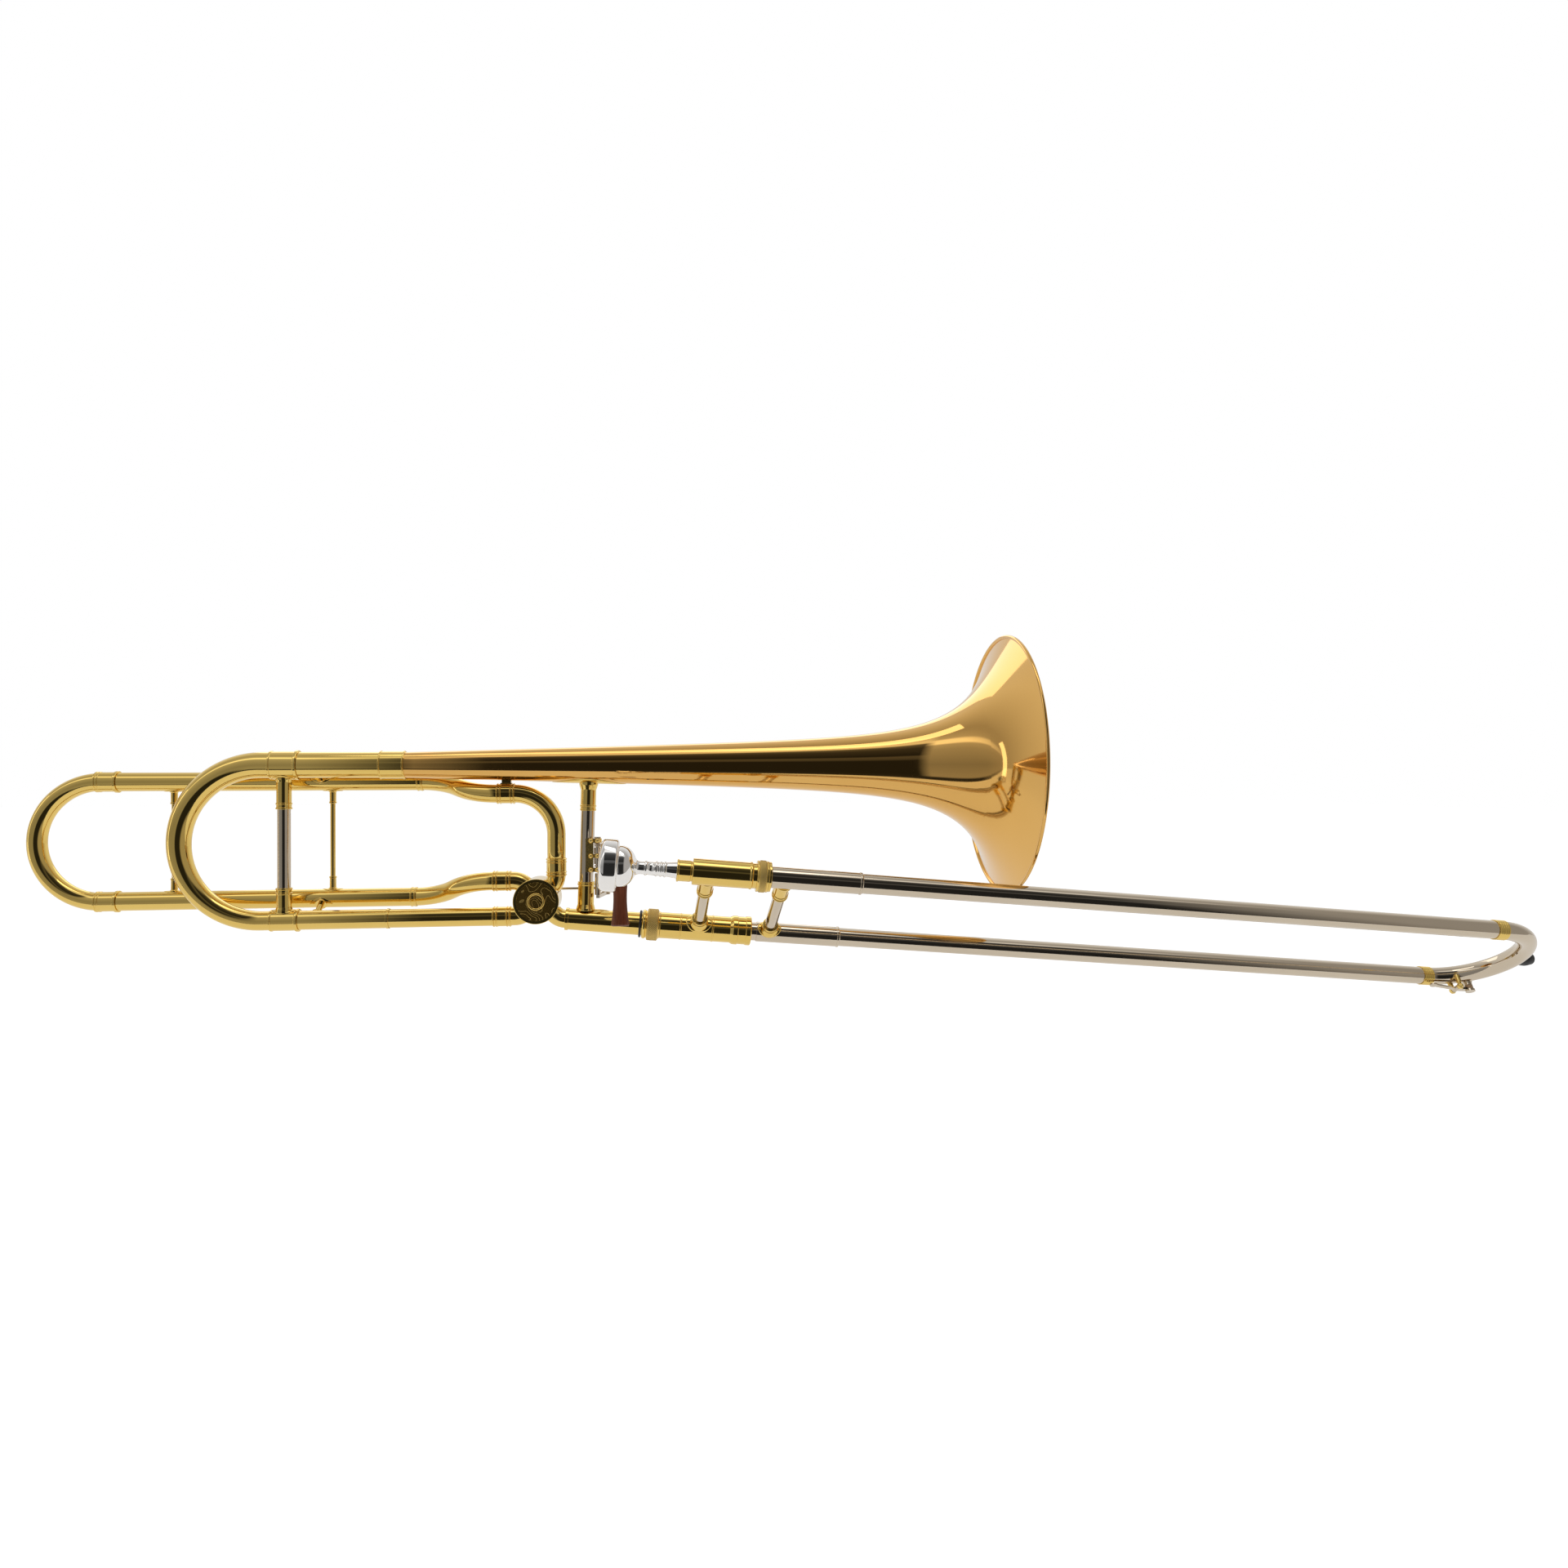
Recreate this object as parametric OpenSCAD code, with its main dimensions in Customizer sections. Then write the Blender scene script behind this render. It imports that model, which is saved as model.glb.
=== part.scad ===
// Tenor trombone with an open-wrap F attachment, in millimetres.
// The origin is the centre of the bell mouth. +X points out of the bell, +Z is up, and the
// tuning crook, the bell stem and the main legs lie in the plane Y = 0.

/* [Bell] */
// Radius of the bell mouth
bell_mouth_r = 110; // [105:1:115]
// Length from the mouth to the end of the bell stem
bell_len = 505; // [500:1:510]
// Outer radius of the bell stem and of the upper main leg
stem_r = 10.35; // [10.3:0.05:10.4]
// Thickness of the bell metal
bell_wall = 0.6; // [0.5:0.1:0.8]
// Radius of the wire inside the rolled rim
rim_wire_r = 1.2; // [1:0.1:1.4]

/* [Main tubing] */
// Distance between the axes of the upper and the lower main leg
leg_gap = 123; // [121:0.5:124]
// Outer radius of the lower main leg
lower_leg_r = 7.6; // [7.5:0.05:7.7]
// Where the outer main legs end and the tuning slide begins, behind the mouth
main_leg_end = 577; // [575:1:579]
// Length of the inner legs of the tuning slide
main_inner_len = 68; // [55:1:68]

/* [F attachment] */
// How far the F loop lies behind the bell plane
f_offset = 24; // [22:0.5:26]
// Outer radius of the outer F legs
f_leg_r = 7.5; // [7.4:0.05:7.6]
// Height of the upper F leg
f_upper_z = -13.1; // [-14:0.1:-12]
// Height of the lower F leg
f_lower_z = -108.5; // [-110:0.5:-107]
// Where the outer F legs end and the F slide begins, behind the mouth
f_leg_end = 721.5; // [715:0.5:725]

/* [Rotary valve] */
// Distance of the valve's axis behind the mouth
valve_back = 391.6; // [391:0.1:392]
// Height of the valve's axis
valve_z = -109; // [-109.5:0.1:-108.5]
// Radius of the rotor
rotor_r = 15.6; // [15.5:0.05:15.65]
// Radius of the valve cap
cap_r = 18; // [17.5:0.1:18.5]

/* [Hand slide] */
// Downward tilt of the hand slide from the bell axis, in degrees
slide_tilt = 4.95; // [4.5:0.05:5.2]
// Height of the slide's lower axis below the bell mouth's centre
slide_drop = 157.9; // [157:0.1:159]
// Distance between the axes of the two slide tubes
slide_gap = 97; // [96:0.5:98]
// Angle of the slide plane above the horizontal, in degrees
slide_rise = 33.3; // [30:0.1:36]
// Outer radius of the outer slide tubes
outer_r = 7.65; // [7.6:0.01:7.7]

/* [Mouthpiece] */
// Radius of the mouthpiece rim
rim_r = 19.8; // [19:0.1:20.5]
// Length of the whole mouthpiece
mouthpiece_len = 81; // [78:1:84]

/* [Hidden] */
$fn = 64;

bell_brass = "#c9963f";
tube_brass = "#d8ab4a";
nickel = "#a89f93";
silver = "#d9d7d2";
chrome_steel = "#8f8b86";
rosewood = "#5a2418";
rubber_black = "#141414";
cork_brown = "#b98a5c";

tube_wall = 0.5;
slip = 0.05;
touch = 0.02;
rest_gap = 0.06;

// Bell flare: a steep power curve added to a slow taper.
flare_start = 128;
flare_power = 4.285;
stem_taper = 0.0283;
stem_plain = 10;
taper_len = bell_len - stem_plain;
flare_end = pow(flare_start / (taper_len + flare_start), flare_power);
flare_rise = (bell_mouth_r - stem_r - stem_taper * taper_len) / (1 - flare_end);
bell_steps = 30;

function bell_radius(d) = d >= taper_len ? stem_r
    : stem_r + stem_taper * (taper_len - d)
        + flare_rise * (pow(flare_start / (d + flare_start), flare_power) - flare_end);
function bell_slope(d) = (bell_radius(d) - bell_radius(d + 0.01)) / 0.01;
function bell_outer(d, stand) = [
    bell_radius(d) + stand / sqrt(1 + pow(bell_slope(d), 2)),
    -d - stand * bell_slope(d) / sqrt(1 + pow(bell_slope(d), 2))
];
function bell_station(i) = taper_len * pow(i / bell_steps, 2);

// Main tubing
main_x = -main_leg_end;
crook_r = leg_gap / 2;
crook_x = -605.6;
crook_mid_z = -crook_r;
link_r = 7.4;
link_start = -509.4;
main_ferrule_x = -420.5;
ferrule_len = 14.6;
tuning_ferrule_start = -598.7;
tuning_brace_x = -588.8;
tuning_brace_r = 5;
tuning_socket_high = 35;
tuning_socket_low = 26;

// F attachment
f_crook_r = (f_upper_z - f_lower_z) / 2;
f_crook_z = (f_upper_z + f_lower_z) / 2;
f_crook_x = -734.7;
f_tube_r = 7.2;
f_inner_len = 82;
f_upper_leg_start = -489.5;
f_lower_leg_start = -494.5;
f_return_z = -94.2;
f_return_ferrule_x = -420.5;
riser_bend_r = 33.2;
riser_top_z = -23.3;
riser_ferrule_z = -83.3;
riser_top_ferrule_x = -417.4;
f_front_brace_x = -558.7;
f_rear_brace_x = -680.4;
connector_x = -566;

// Valve
valve_x = -valve_back;
port_r = 6.9;
rotor_bore_r = 6;
casing_r = 17.4;
casing_front = -15;
casing_back = 14;
thread_r = 16.4;
elbow_r = 14;
port_reach = 12.2;
stem_pin_r = 3;
riser_x = valve_x + 14.2;
arm_len = 8;
arm_angle = 45;
link_y = 22;
link_z = valve_z + arm_len * cos(arm_angle);
link_start_x = valve_x + arm_len * sin(arm_angle);

// Thumb lever
hinge_x = -343.8;
hinge_y = -7;
hinge_top = -60;
hinge_foot = -87;
crank_len = link_y - hinge_y;
lever_pin_x = hinge_x + arm_len * sin(arm_angle);
paddle_x = -325.3;
paddle_y = -23;
paddle_low = -129.5;
paddle_high = -83;

// Bell brace
brace_x = -351;
brace_lean = 1.5;
brace_tube_r = 5.7;

// Hand slide, with distances along its own axis
gooseneck_start = -370.4;
gooseneck_end = -301;
gooseneck_r = 8.6;
receiver_r = 9.4;
inner_r = 7.2;
bore_r = 6.9;
stocking_r = outer_r - 0.35;
barrel_end = -219.5;
inner_end = 385;
outer_start = -247;
bow_start = 398;
bow_r = slide_gap / 2;
inner_brace_s = -263.2;
outer_brace_s = -204.6;
brace_r = 5;
mouthpiece_s = -344.5;
shank_end = mouthpiece_s + mouthpiece_len;
receiver_mouth = -286.9;
key_s = 418;
key_t = 6.6;
key_turn = 3;
key_height = -13.4;

// A solid bar, a pipe and a cone shell along +X, and a bead around X
module bar_x(x0, x1, r) {
    translate([x0, 0, 0]) rotate([0, 90, 0]) cylinder(h = x1 - x0, r = r);
}

module pipe_x(x0, x1, r, bore) {
    difference() {
        bar_x(x0, x1, r);
        bar_x(x0 - 1, x1 + 1, bore);
    }
}

module cone_x(x0, x1, r0, r1) {
    translate([x0, 0, 0]) rotate([0, 90, 0]) cylinder(h = x1 - x0, r1 = r0, r2 = r1);
}

module bead_x(x, r, size) {
    translate([x, 0, 0]) rotate([0, 90, 0]) rotate_extrude() translate([r, 0]) circle(r = size, $fn = 24);
}

// A pipe with a raised bead near each end
module ferrule_x(x0, x1, r, bore) {
    difference() {
        union() {
            bar_x(x0, x1, r);
            bead_x(x0 + 1, r, 0.5);
            bead_x(x1 - 1, r, 0.5);
        }
        bar_x(x0 - 1, x1 + 1, bore);
    }
}

// A lathe turned profile of [along, radius] points, revolved around X
module turned_x(points) {
    rotate([0, 90, 0]) rotate_extrude() polygon([for (p = points) [p[1], p[0]]]);
}

// A solid bend in the XZ plane. It starts at the origin going towards -X and turns up.
module bend_up(radius, angle, r) {
    translate([0, 0, radius]) rotate([90, 0, 0]) rotate([0, 0, -90])
        mirror([0, 1, 0]) rotate_extrude(angle = angle) translate([radius, 0]) circle(r = r);
}

// A swept pipe made of rings. Every ring is [centre, across, up, outer radius, bore].
module swept_pipe(rings, sides) {
    count = len(rings);
    function ring_points(ring, k) = [
        for (j = [0 : sides - 1]) let (a = 360 * j / sides)
            ring[0] + ring[k] * (cos(a) * ring[1] + sin(a) * ring[2])
    ];
    outer = [for (ring = rings) each ring_points(ring, 3)];
    inner = [for (ring = rings) each ring_points(ring, 4)];
    shift = count * sides;
    outer_faces = [
        for (i = [0 : count - 2]) for (j = [0 : sides - 1]) let (k = (j + 1) % sides)
            [i * sides + j, i * sides + k, (i + 1) * sides + k, (i + 1) * sides + j]
    ];
    inner_faces = [
        for (i = [0 : count - 2]) for (j = [0 : sides - 1]) let (k = (j + 1) % sides)
            [for (v = [i * sides + k, i * sides + j, (i + 1) * sides + j, (i + 1) * sides + k]) v + shift]
    ];
    end_faces = [
        for (j = [0 : sides - 1]) let (k = (j + 1) % sides, z = shift - sides) each [
            [j, j + shift, k + shift, k],
            [z + j, z + k, z + k + shift, z + j + shift]
        ]
    ];
    polyhedron(
        points = concat(outer, inner),
        faces = concat(outer_faces, inner_faces, end_faces),
        convexity = 6
    );
}

// The frame of the hand slide: X runs along the tubes, Z from the lower tube to the upper one
module slide_frame() {
    translate([0, 0, -slide_drop]) rotate([0, slide_tilt, 0]) rotate([90 - slide_rise, 0, 0]) children();
}

module upper_slide() {
    slide_frame() translate([0, 0, slide_gap]) children();
}

module at_valve() {
    translate([valve_x, 0, valve_z]) children();
}

module bar_y(y0, y1, r) {
    translate([0, y0, 0]) rotate([-90, 0, 0]) cylinder(h = y1 - y0, r = r);
}

// Bell

module bell() {
    outer = [for (i = [bell_steps : -1 : 0]) bell_outer(bell_station(i), 0)];
    inner = [for (i = [0 : bell_steps]) bell_outer(bell_station(i), -bell_wall)];
    tail = [[stem_r - bell_wall, -bell_len], [stem_r, -bell_len]];
    color(bell_brass) rotate([0, 90, 0]) difference() {
        union() {
            rotate_extrude() polygon(concat(outer, inner, tail));
            translate([0, 0, -1]) rotate_extrude()
                translate([bell_mouth_r - 1, 0]) circle(r = rim_wire_r + 0.4);
        }
        translate([0, 0, -1]) rotate_extrude() translate([bell_mouth_r - 1, 0]) circle(r = rim_wire_r);
    }
}

module bell_rim_wire() {
    color(tube_brass) bead_x(-1, bell_mouth_r - 1, rim_wire_r - touch);
}

module bell_tail_ferrule() {
    color(tube_brass) ferrule_x(-bell_len - 10.4, -bell_len + 9.4, stem_r + 0.7, stem_r + touch);
}

// A solid with the bell's outside, standing off by a little, for cutting what rests on it
module bell_envelope(stand) {
    points = [for (i = [bell_steps : -1 : 0]) bell_outer(bell_station(i), stand)];
    rotate([0, 90, 0]) rotate_extrude()
        polygon(concat([[0, -bell_len], [stem_r + stand, -bell_len]], points, [[0, 0]]));
}

// Main legs

module main_outer_legs() {
    color(tube_brass) {
        pipe_x(main_x, -bell_len - touch, stem_r, stem_r - tube_wall - slip);
        translate([0, 0, -leg_gap]) pipe_x(main_x, link_start, lower_leg_r, lower_leg_r - tube_wall);
    }
}

module main_link_tube() {
    color(tube_brass) translate([0, 0, -leg_gap])
        pipe_x(link_start, main_ferrule_x - touch, link_r, link_r - tube_wall);
}

module tube_ferrules() {
    half = ferrule_len / 2;
    over = link_r + touch;
    thick = link_r + 0.55;
    color(tube_brass) {
        translate([0, 0, -leg_gap]) pipe_x(link_start - 1, link_start + 1.1, 8.1, lower_leg_r + touch);
        translate([0, 0, -leg_gap]) ferrule_x(main_ferrule_x - half, main_ferrule_x + half, thick, over);
        translate([0, 0, f_return_z])
            ferrule_x(f_return_ferrule_x - half, f_return_ferrule_x + half, thick, over);
        translate([0, 0, riser_top_z])
            ferrule_x(riser_top_ferrule_x - half, riser_top_ferrule_x + half, thick, over);
        translate([riser_x, 0, riser_ferrule_z]) rotate([0, 90, 0]) ferrule_x(-half, half, thick, over);
        for (leg = [[f_upper_leg_start, f_upper_z], [f_lower_leg_start, f_lower_z]])
            translate([0, f_offset, leg[1]])
                ferrule_x(leg[0] - 2.5, leg[0] + 2.5, f_leg_r + 0.5, f_leg_r + touch);
        slide_frame()
            pipe_x(gooseneck_start - 1.2, gooseneck_start + 1.4, gooseneck_r + 0.7, gooseneck_r + 0.07);
    }
}

// Valve

// The straight stub and the arc of one elbow. It comes in from -X, a given height below the
// valve's axis, and turns up into the casing. The slope is its direction below the horizontal.
function elbow_turn(height, slope) = acos(cos(slope) - (height - port_reach) / elbow_r);
function elbow_back(height, slope) =
    port_reach + elbow_r * (sin(elbow_turn(height, slope)) - sin(slope));

// Depth of the slide's lower axis below the valve, where the gooseneck starts
slide_depth = slide_drop + valve_z + gooseneck_start * sin(slide_tilt);

module elbow(height, slope, stub, r) {
    turn = elbow_turn(height, slope);
    translate([-elbow_back(height, slope), 0, -height]) rotate([0, -slope, 0]) {
        bar_x(-stub, 0, r);
        mirror([1, 0, 0]) bend_up(elbow_r, turn - slope + 8, r);
    }
}

// The insides or the outsides of all four elbows. The stubs grow by stub_add.
module all_elbows(r, stub_add) {
    low = leg_gap + valve_z;
    high = f_return_z - valve_z;
    side = riser_x - valve_x;
    low_stub = valve_x - main_ferrule_x - elbow_back(low, 0);
    high_stub = valve_x - f_return_ferrule_x - elbow_back(high, 0);
    side_stub = riser_ferrule_z - valve_z - elbow_back(side, 0);
    slide_stub = gooseneck_start * cos(slide_tilt) - valve_x - elbow_back(slide_depth, slide_tilt);
    elbow(low, 0, low_stub + stub_add, r);
    mirror([0, 0, 1]) elbow(high, 0, high_stub + stub_add, r);
    rotate([0, -90, 0]) mirror([1, 0, 0]) mirror([0, 0, 1]) mirror([1, 0, 0])
        elbow(side, 0, side_stub + stub_add, r);
    mirror([1, 0, 0]) elbow(slide_depth, slide_tilt, slide_stub / cos(slide_tilt) + stub_add, r);
}

module valve_elbows() {
    color(tube_brass) at_valve() difference() {
        all_elbows(link_r, -touch);
        all_elbows(port_r, 1);
        bar_y(-30, 30, casing_r + touch);
    }
}

module valve_casing() {
    color(tube_brass) at_valve() difference() {
        union() {
            bar_y(casing_front, casing_back, casing_r);
            bar_y(-20, casing_front, thread_r);
        }
        bar_y(-21, 11, rotor_r + slip);
        bar_y(10, 15, stem_pin_r + slip);
        for (a = [45, 135, 225, 315]) rotate([0, a, 0])
            translate([0, 0, 10]) cylinder(h = 12, r = port_r - 0.7);
    }
}

module front_bearing() {
    color(tube_brass) at_valve() difference() {
        bar_y(-14.6, -11.3, rotor_r + slip - touch);
        bar_y(-16, -10, stem_pin_r + slip);
        for (side = [-1, 1]) translate([side * 8, 0, 0]) bar_y(-16, -13, 1.2);
    }
}

module valve_cap() {
    color(tube_brass) at_valve() {
        difference() {
            union() {
                bar_y(-22, -15.1, cap_r);
                bar_y(-22.8, -21.5, 6.7);
            }
            bar_y(-20.1, -14, thread_r + touch);
            bar_y(-24, -21.6, 5.4);
        }
    }
}

module rotor() {
    passage_x = rotor_r * sqrt(2);
    color(tube_brass) at_valve() {
        difference() {
            bar_y(-11.2, 10.9, rotor_r);
            for (side = [-1, 1]) translate([0, 0, side * passage_x]) rotate([90, 0, 0])
                rotate_extrude() translate([rotor_r, 0]) circle(r = rotor_bore_r);
        }
        bar_y(-14.5, -11, stem_pin_r);
        bar_y(10.5, 18.5, stem_pin_r);
    }
}

module stop_plate() {
    color(tube_brass) at_valve() difference() {
        union() {
            bar_y(casing_back + touch, 16, 14);
            for (side = [-1, 1]) rotate([0, side * 64, 0])
                translate([-3.2, 15.9, -13.5]) cube([6.4, 3.4, 4.6]);
        }
        bar_y(13, 18, stem_pin_r + 1);
        for (a = [30, 330]) rotate([0, a, 0]) translate([0, 0, 9.5]) bar_y(13, 18, 1.3);
    }
}

module stop_corks() {
    color(cork_brown) at_valve()
        for (side = [-1, 1]) rotate([0, side * 64, 0]) translate([-2.4, 16.1, -8.88]) cube([4.8, 2.8, 1.6]);
}

module stop_arm() {
    color(tube_brass) at_valve() {
        difference() {
            union() {
                bar_y(16.3, 19.6, 5);
                rotate([0, arm_angle, 0]) translate([-2.2, 16.3, 0]) cube([4.4, 3.3, arm_len]);
                rotate([0, arm_angle, 0]) translate([0, 0, arm_len]) bar_y(16.3, 19.6, 2.2);
                rotate([0, arm_angle, 0]) translate([-1.6, 16.3, -6.4]) cube([3.2, 2.6, 5]);
            }
            bar_y(16, 20, stem_pin_r + touch);
        }
        bar_y(18.5 + touch, 20.6, 2.6);
        rotate([0, arm_angle, 0]) translate([0, 0, arm_len]) bar_y(19.6, 24.6, 1.2);
        rotate([0, arm_angle, 0]) translate([0, 0, arm_len]) bar_y(24.2, 25.4, 2);
    }
}

// F attachment

module f_riser() {
    color(tube_brass) difference() {
        union() {
            translate([riser_x, 0, riser_ferrule_z + touch]) cylinder(
                h = riser_top_z - riser_bend_r - riser_ferrule_z, r = link_r);
            translate([riser_x - riser_bend_r, 0, riser_top_z - riser_bend_r]) rotate([90, 0, 0])
                rotate_extrude(angle = 90) translate([riser_bend_r, 0]) circle(r = link_r);
            translate([0, 0, riser_top_z])
                bar_x(riser_top_ferrule_x + touch, riser_x - riser_bend_r, link_r);
        }
        translate([riser_x, 0, riser_ferrule_z - 1]) cylinder(
            h = riser_top_z - riser_bend_r - riser_ferrule_z + 1, r = port_r);
        translate([riser_x - riser_bend_r, 0, riser_top_z - riser_bend_r]) rotate([90, 0, 0])
            rotate_extrude(angle = 90) translate([riser_bend_r, 0]) circle(r = port_r);
        translate([0, 0, riser_top_z]) bar_x(riser_top_ferrule_x - 1, riser_x - riser_bend_r, port_r);
    }
}

// One straight stub and one S-bend from a ferrule near the valve to an outer F leg. The bend
// is two equal arcs that turn opposite ways, so it ends parallel to where it began.
s_bend_steps = 8;

module f_s_bend(ferrule_x, z, leg_start, leg_z) {
    start = ferrule_x - ferrule_len / 2;
    run = start - leg_start - touch;
    dz = leg_z - z;
    side = sqrt(f_offset * f_offset + dz * dz);
    turn = 2 * atan(side / run);
    radius = run / (2 * sin(turn));
    aside = [0, f_offset, dz] / side;
    across = [0, dz, -f_offset] / side;
    function ring(p, a) = [p, [sin(a), 0, 0] + cos(a) * aside, across, link_r, port_r];
    function near(a) = [start - radius * sin(a), 0, z] + radius * (1 - cos(a)) * aside;
    function far(a) = [start - run + radius * sin(a), 0, z] + (side - radius * (1 - cos(a))) * aside;
    swept_pipe(concat(
        [ring([ferrule_x - touch, 0, z], 0)],
        [for (i = [0 : s_bend_steps]) let (a = turn * i / s_bend_steps) ring(near(a), a)],
        [for (i = [s_bend_steps - 1 : -1 : 0]) let (a = turn * i / s_bend_steps) ring(far(a), a)]
    ), 28);
}

module f_s_bends() {
    color(tube_brass) {
        f_s_bend(riser_top_ferrule_x, riser_top_z, f_upper_leg_start, f_upper_z);
        f_s_bend(f_return_ferrule_x, f_return_z, f_lower_leg_start, f_lower_z);
    }
}

module f_outer_legs() {
    color(tube_brass) translate([0, f_offset, 0])
        for (leg = [[f_upper_leg_start, f_upper_z], [f_lower_leg_start, f_lower_z]])
            translate([0, 0, leg[1]])
                pipe_x(-f_leg_end, leg[0] - touch, f_leg_r, f_leg_r - tube_wall);
}

// A thin brace between the two F legs, with a socket and a foot at each end
module f_brace(x) {
    translate([x, f_offset, 0]) difference() {
        union() {
            translate([0, 0, f_lower_z]) cylinder(h = f_upper_z - f_lower_z, r = 2);
            for (end = [[f_lower_z, 1], [f_upper_z, -1]]) translate([0, 0, end[0]]) {
                mirror([0, 0, end[1] > 0 ? 0 : 1]) cylinder(h = f_leg_r + 10.5, r = 2.5);
                mirror([0, 0, end[1] > 0 ? 0 : 1]) cylinder(h = f_leg_r + 1, r = 5);
            }
        }
        for (z = [f_lower_z, f_upper_z]) translate([0, 0, z]) bar_x(-20, 20, f_leg_r + touch);
        translate([0, 0, f_upper_z + 2]) cylinder(h = 20, r = 12);
        translate([0, 0, f_lower_z - 22]) cylinder(h = 20, r = 12);
    }
}

module f_braces() {
    color(tube_brass) {
        f_brace(f_front_brace_x);
        f_brace(f_rear_brace_x);
    }
}

// A short post from a main leg to the F leg behind it
module leg_post(main_z, main_r, f_z) {
    span = sqrt(pow(f_offset, 2) + pow(f_z - main_z, 2));
    translate([connector_x, 0, main_z]) rotate([-atan2(f_offset, f_z - main_z), 0, 0]) difference() {
        union() {
            cylinder(h = span, r = 2.4);
            cylinder(h = main_r + 1, r = 4.4);
            translate([0, 0, span - f_leg_r - 1]) cylinder(h = f_leg_r, r = 4.4);
        }
        bar_x(-20, 20, main_r + touch);
        translate([0, 0, span]) bar_x(-20, 20, f_leg_r + touch);
        translate([0, 0, -10]) cylinder(h = 12, r = 12);
        translate([0, 0, span - 2]) cylinder(h = 12, r = 12);
    }
}

module leg_connectors() {
    color(tube_brass) {
        leg_post(0, stem_r, f_upper_z);
        leg_post(-leg_gap, lower_leg_r, f_lower_z);
        difference() {
            union() {
                translate([-420.6, -2.5, -20]) cube([7.4, 5, 12]);
                translate([-421.5, -3.5, -17.8]) cube([9, 7, 3.2]);
            }
            bell_envelope(rest_gap);
            translate([0, 0, riser_top_z]) bar_x(-440, -400, link_r + 1.1);
        }
    }
}

// Bell brace and lever

// The brace's own frame: its axis starts on the bell axis and leans as it goes down
module brace_frame() {
    translate([brace_x, 0, 0]) rotate([0, brace_lean, 0]) children();
}

module bell_brace_saddle() {
    color(tube_brass) difference() {
        union() {
            intersection() {
                bell_envelope(1.1);
                translate([brace_x, 42, -40]) cylinder(h = 40, r = 52);
                translate([brace_x, -42, -40]) cylinder(h = 40, r = 52);
            }
            brace_frame() translate([0, 0, -36.5]) cylinder(h = 30, r = 6.4);
            brace_frame() translate([0, 0, -37.5]) cylinder(h = 3, r = 6.8);
        }
        bell_envelope(rest_gap);
        brace_frame() translate([0, 0, -40]) cylinder(h = 14, r = brace_tube_r + touch);
        translate([brace_x - 60, -30, 0]) cube([120, 60, 30]);
    }
}

module bell_brace_tube() {
    color(nickel) brace_frame() translate([0, 0, -107]) difference() {
        cylinder(h = 80, r = brace_tube_r);
        translate([0, 0, -1]) cylinder(h = 82, r = brace_tube_r - 0.8);
    }
}

module gooseneck_envelope(stand) {
    slide_frame() cone_x(gooseneck_start, -311.5, gooseneck_r + stand, receiver_r + stand);
}

module bell_brace_foot() {
    foot_x = brace_x - 3;
    color(tube_brass) difference() {
        union() {
            intersection() {
                gooseneck_envelope(1);
                translate([foot_x + 4, 25.7, -140]) cylinder(h = 60, r = 30);
                translate([foot_x + 4, -25.7, -140]) cylinder(h = 60, r = 30);
                translate([foot_x - 30, -20, -126]) cube([60, 40, 30]);
            }
            brace_frame() translate([0, 0, -122]) cylinder(h = 26, r = 6.7);
            brace_frame() translate([0, 0, -98.5]) cylinder(h = 3, r = 7.2);
        }
        gooseneck_envelope(rest_gap);
        slide_frame() bar_x(gooseneck_start, -320, 8);
        brace_frame() translate([0, 0, -107.5]) cylinder(h = 20, r = brace_tube_r + touch);
    }
}

knuckles = [[-60, -63.4], [-72.4, -75.6], [-83.6, -87]];
barrels = [[-67.2, -72.2], [-75.8, -80.8]];

module lever_bracket() {
    color(tube_brass) difference() {
        union() {
            translate([-353.4, -9.4, hinge_foot]) cube([6.2, 4, hinge_top - hinge_foot]);
            for (k = knuckles) translate([hinge_x, hinge_y, k[1]]) cylinder(h = k[0] - k[1], r = 3.3);
            for (k = knuckles) translate([-350, -10.3, k[1]]) cube([6, 5.4, k[0] - k[1]]);
            for (k = knuckles) translate([-349, -9.3, (k[0] + k[1]) / 2]) rotate([90, 0, 0])
                cylinder(h = 1.6, r = 1.6);
        }
        brace_frame() translate([0, 0, -130]) cylinder(h = 120, r = brace_tube_r + touch);
        translate([hinge_x, hinge_y, -95]) cylinder(h = 40, r = 1.5 + slip);
    }
}

module lever_pin() {
    color(nickel) translate([hinge_x, hinge_y, -87.6]) {
        cylinder(h = 29, r = 1.5);
        translate([0, 0, 27.7]) cylinder(h = 1.3, r = 2.6);
    }
}

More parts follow.
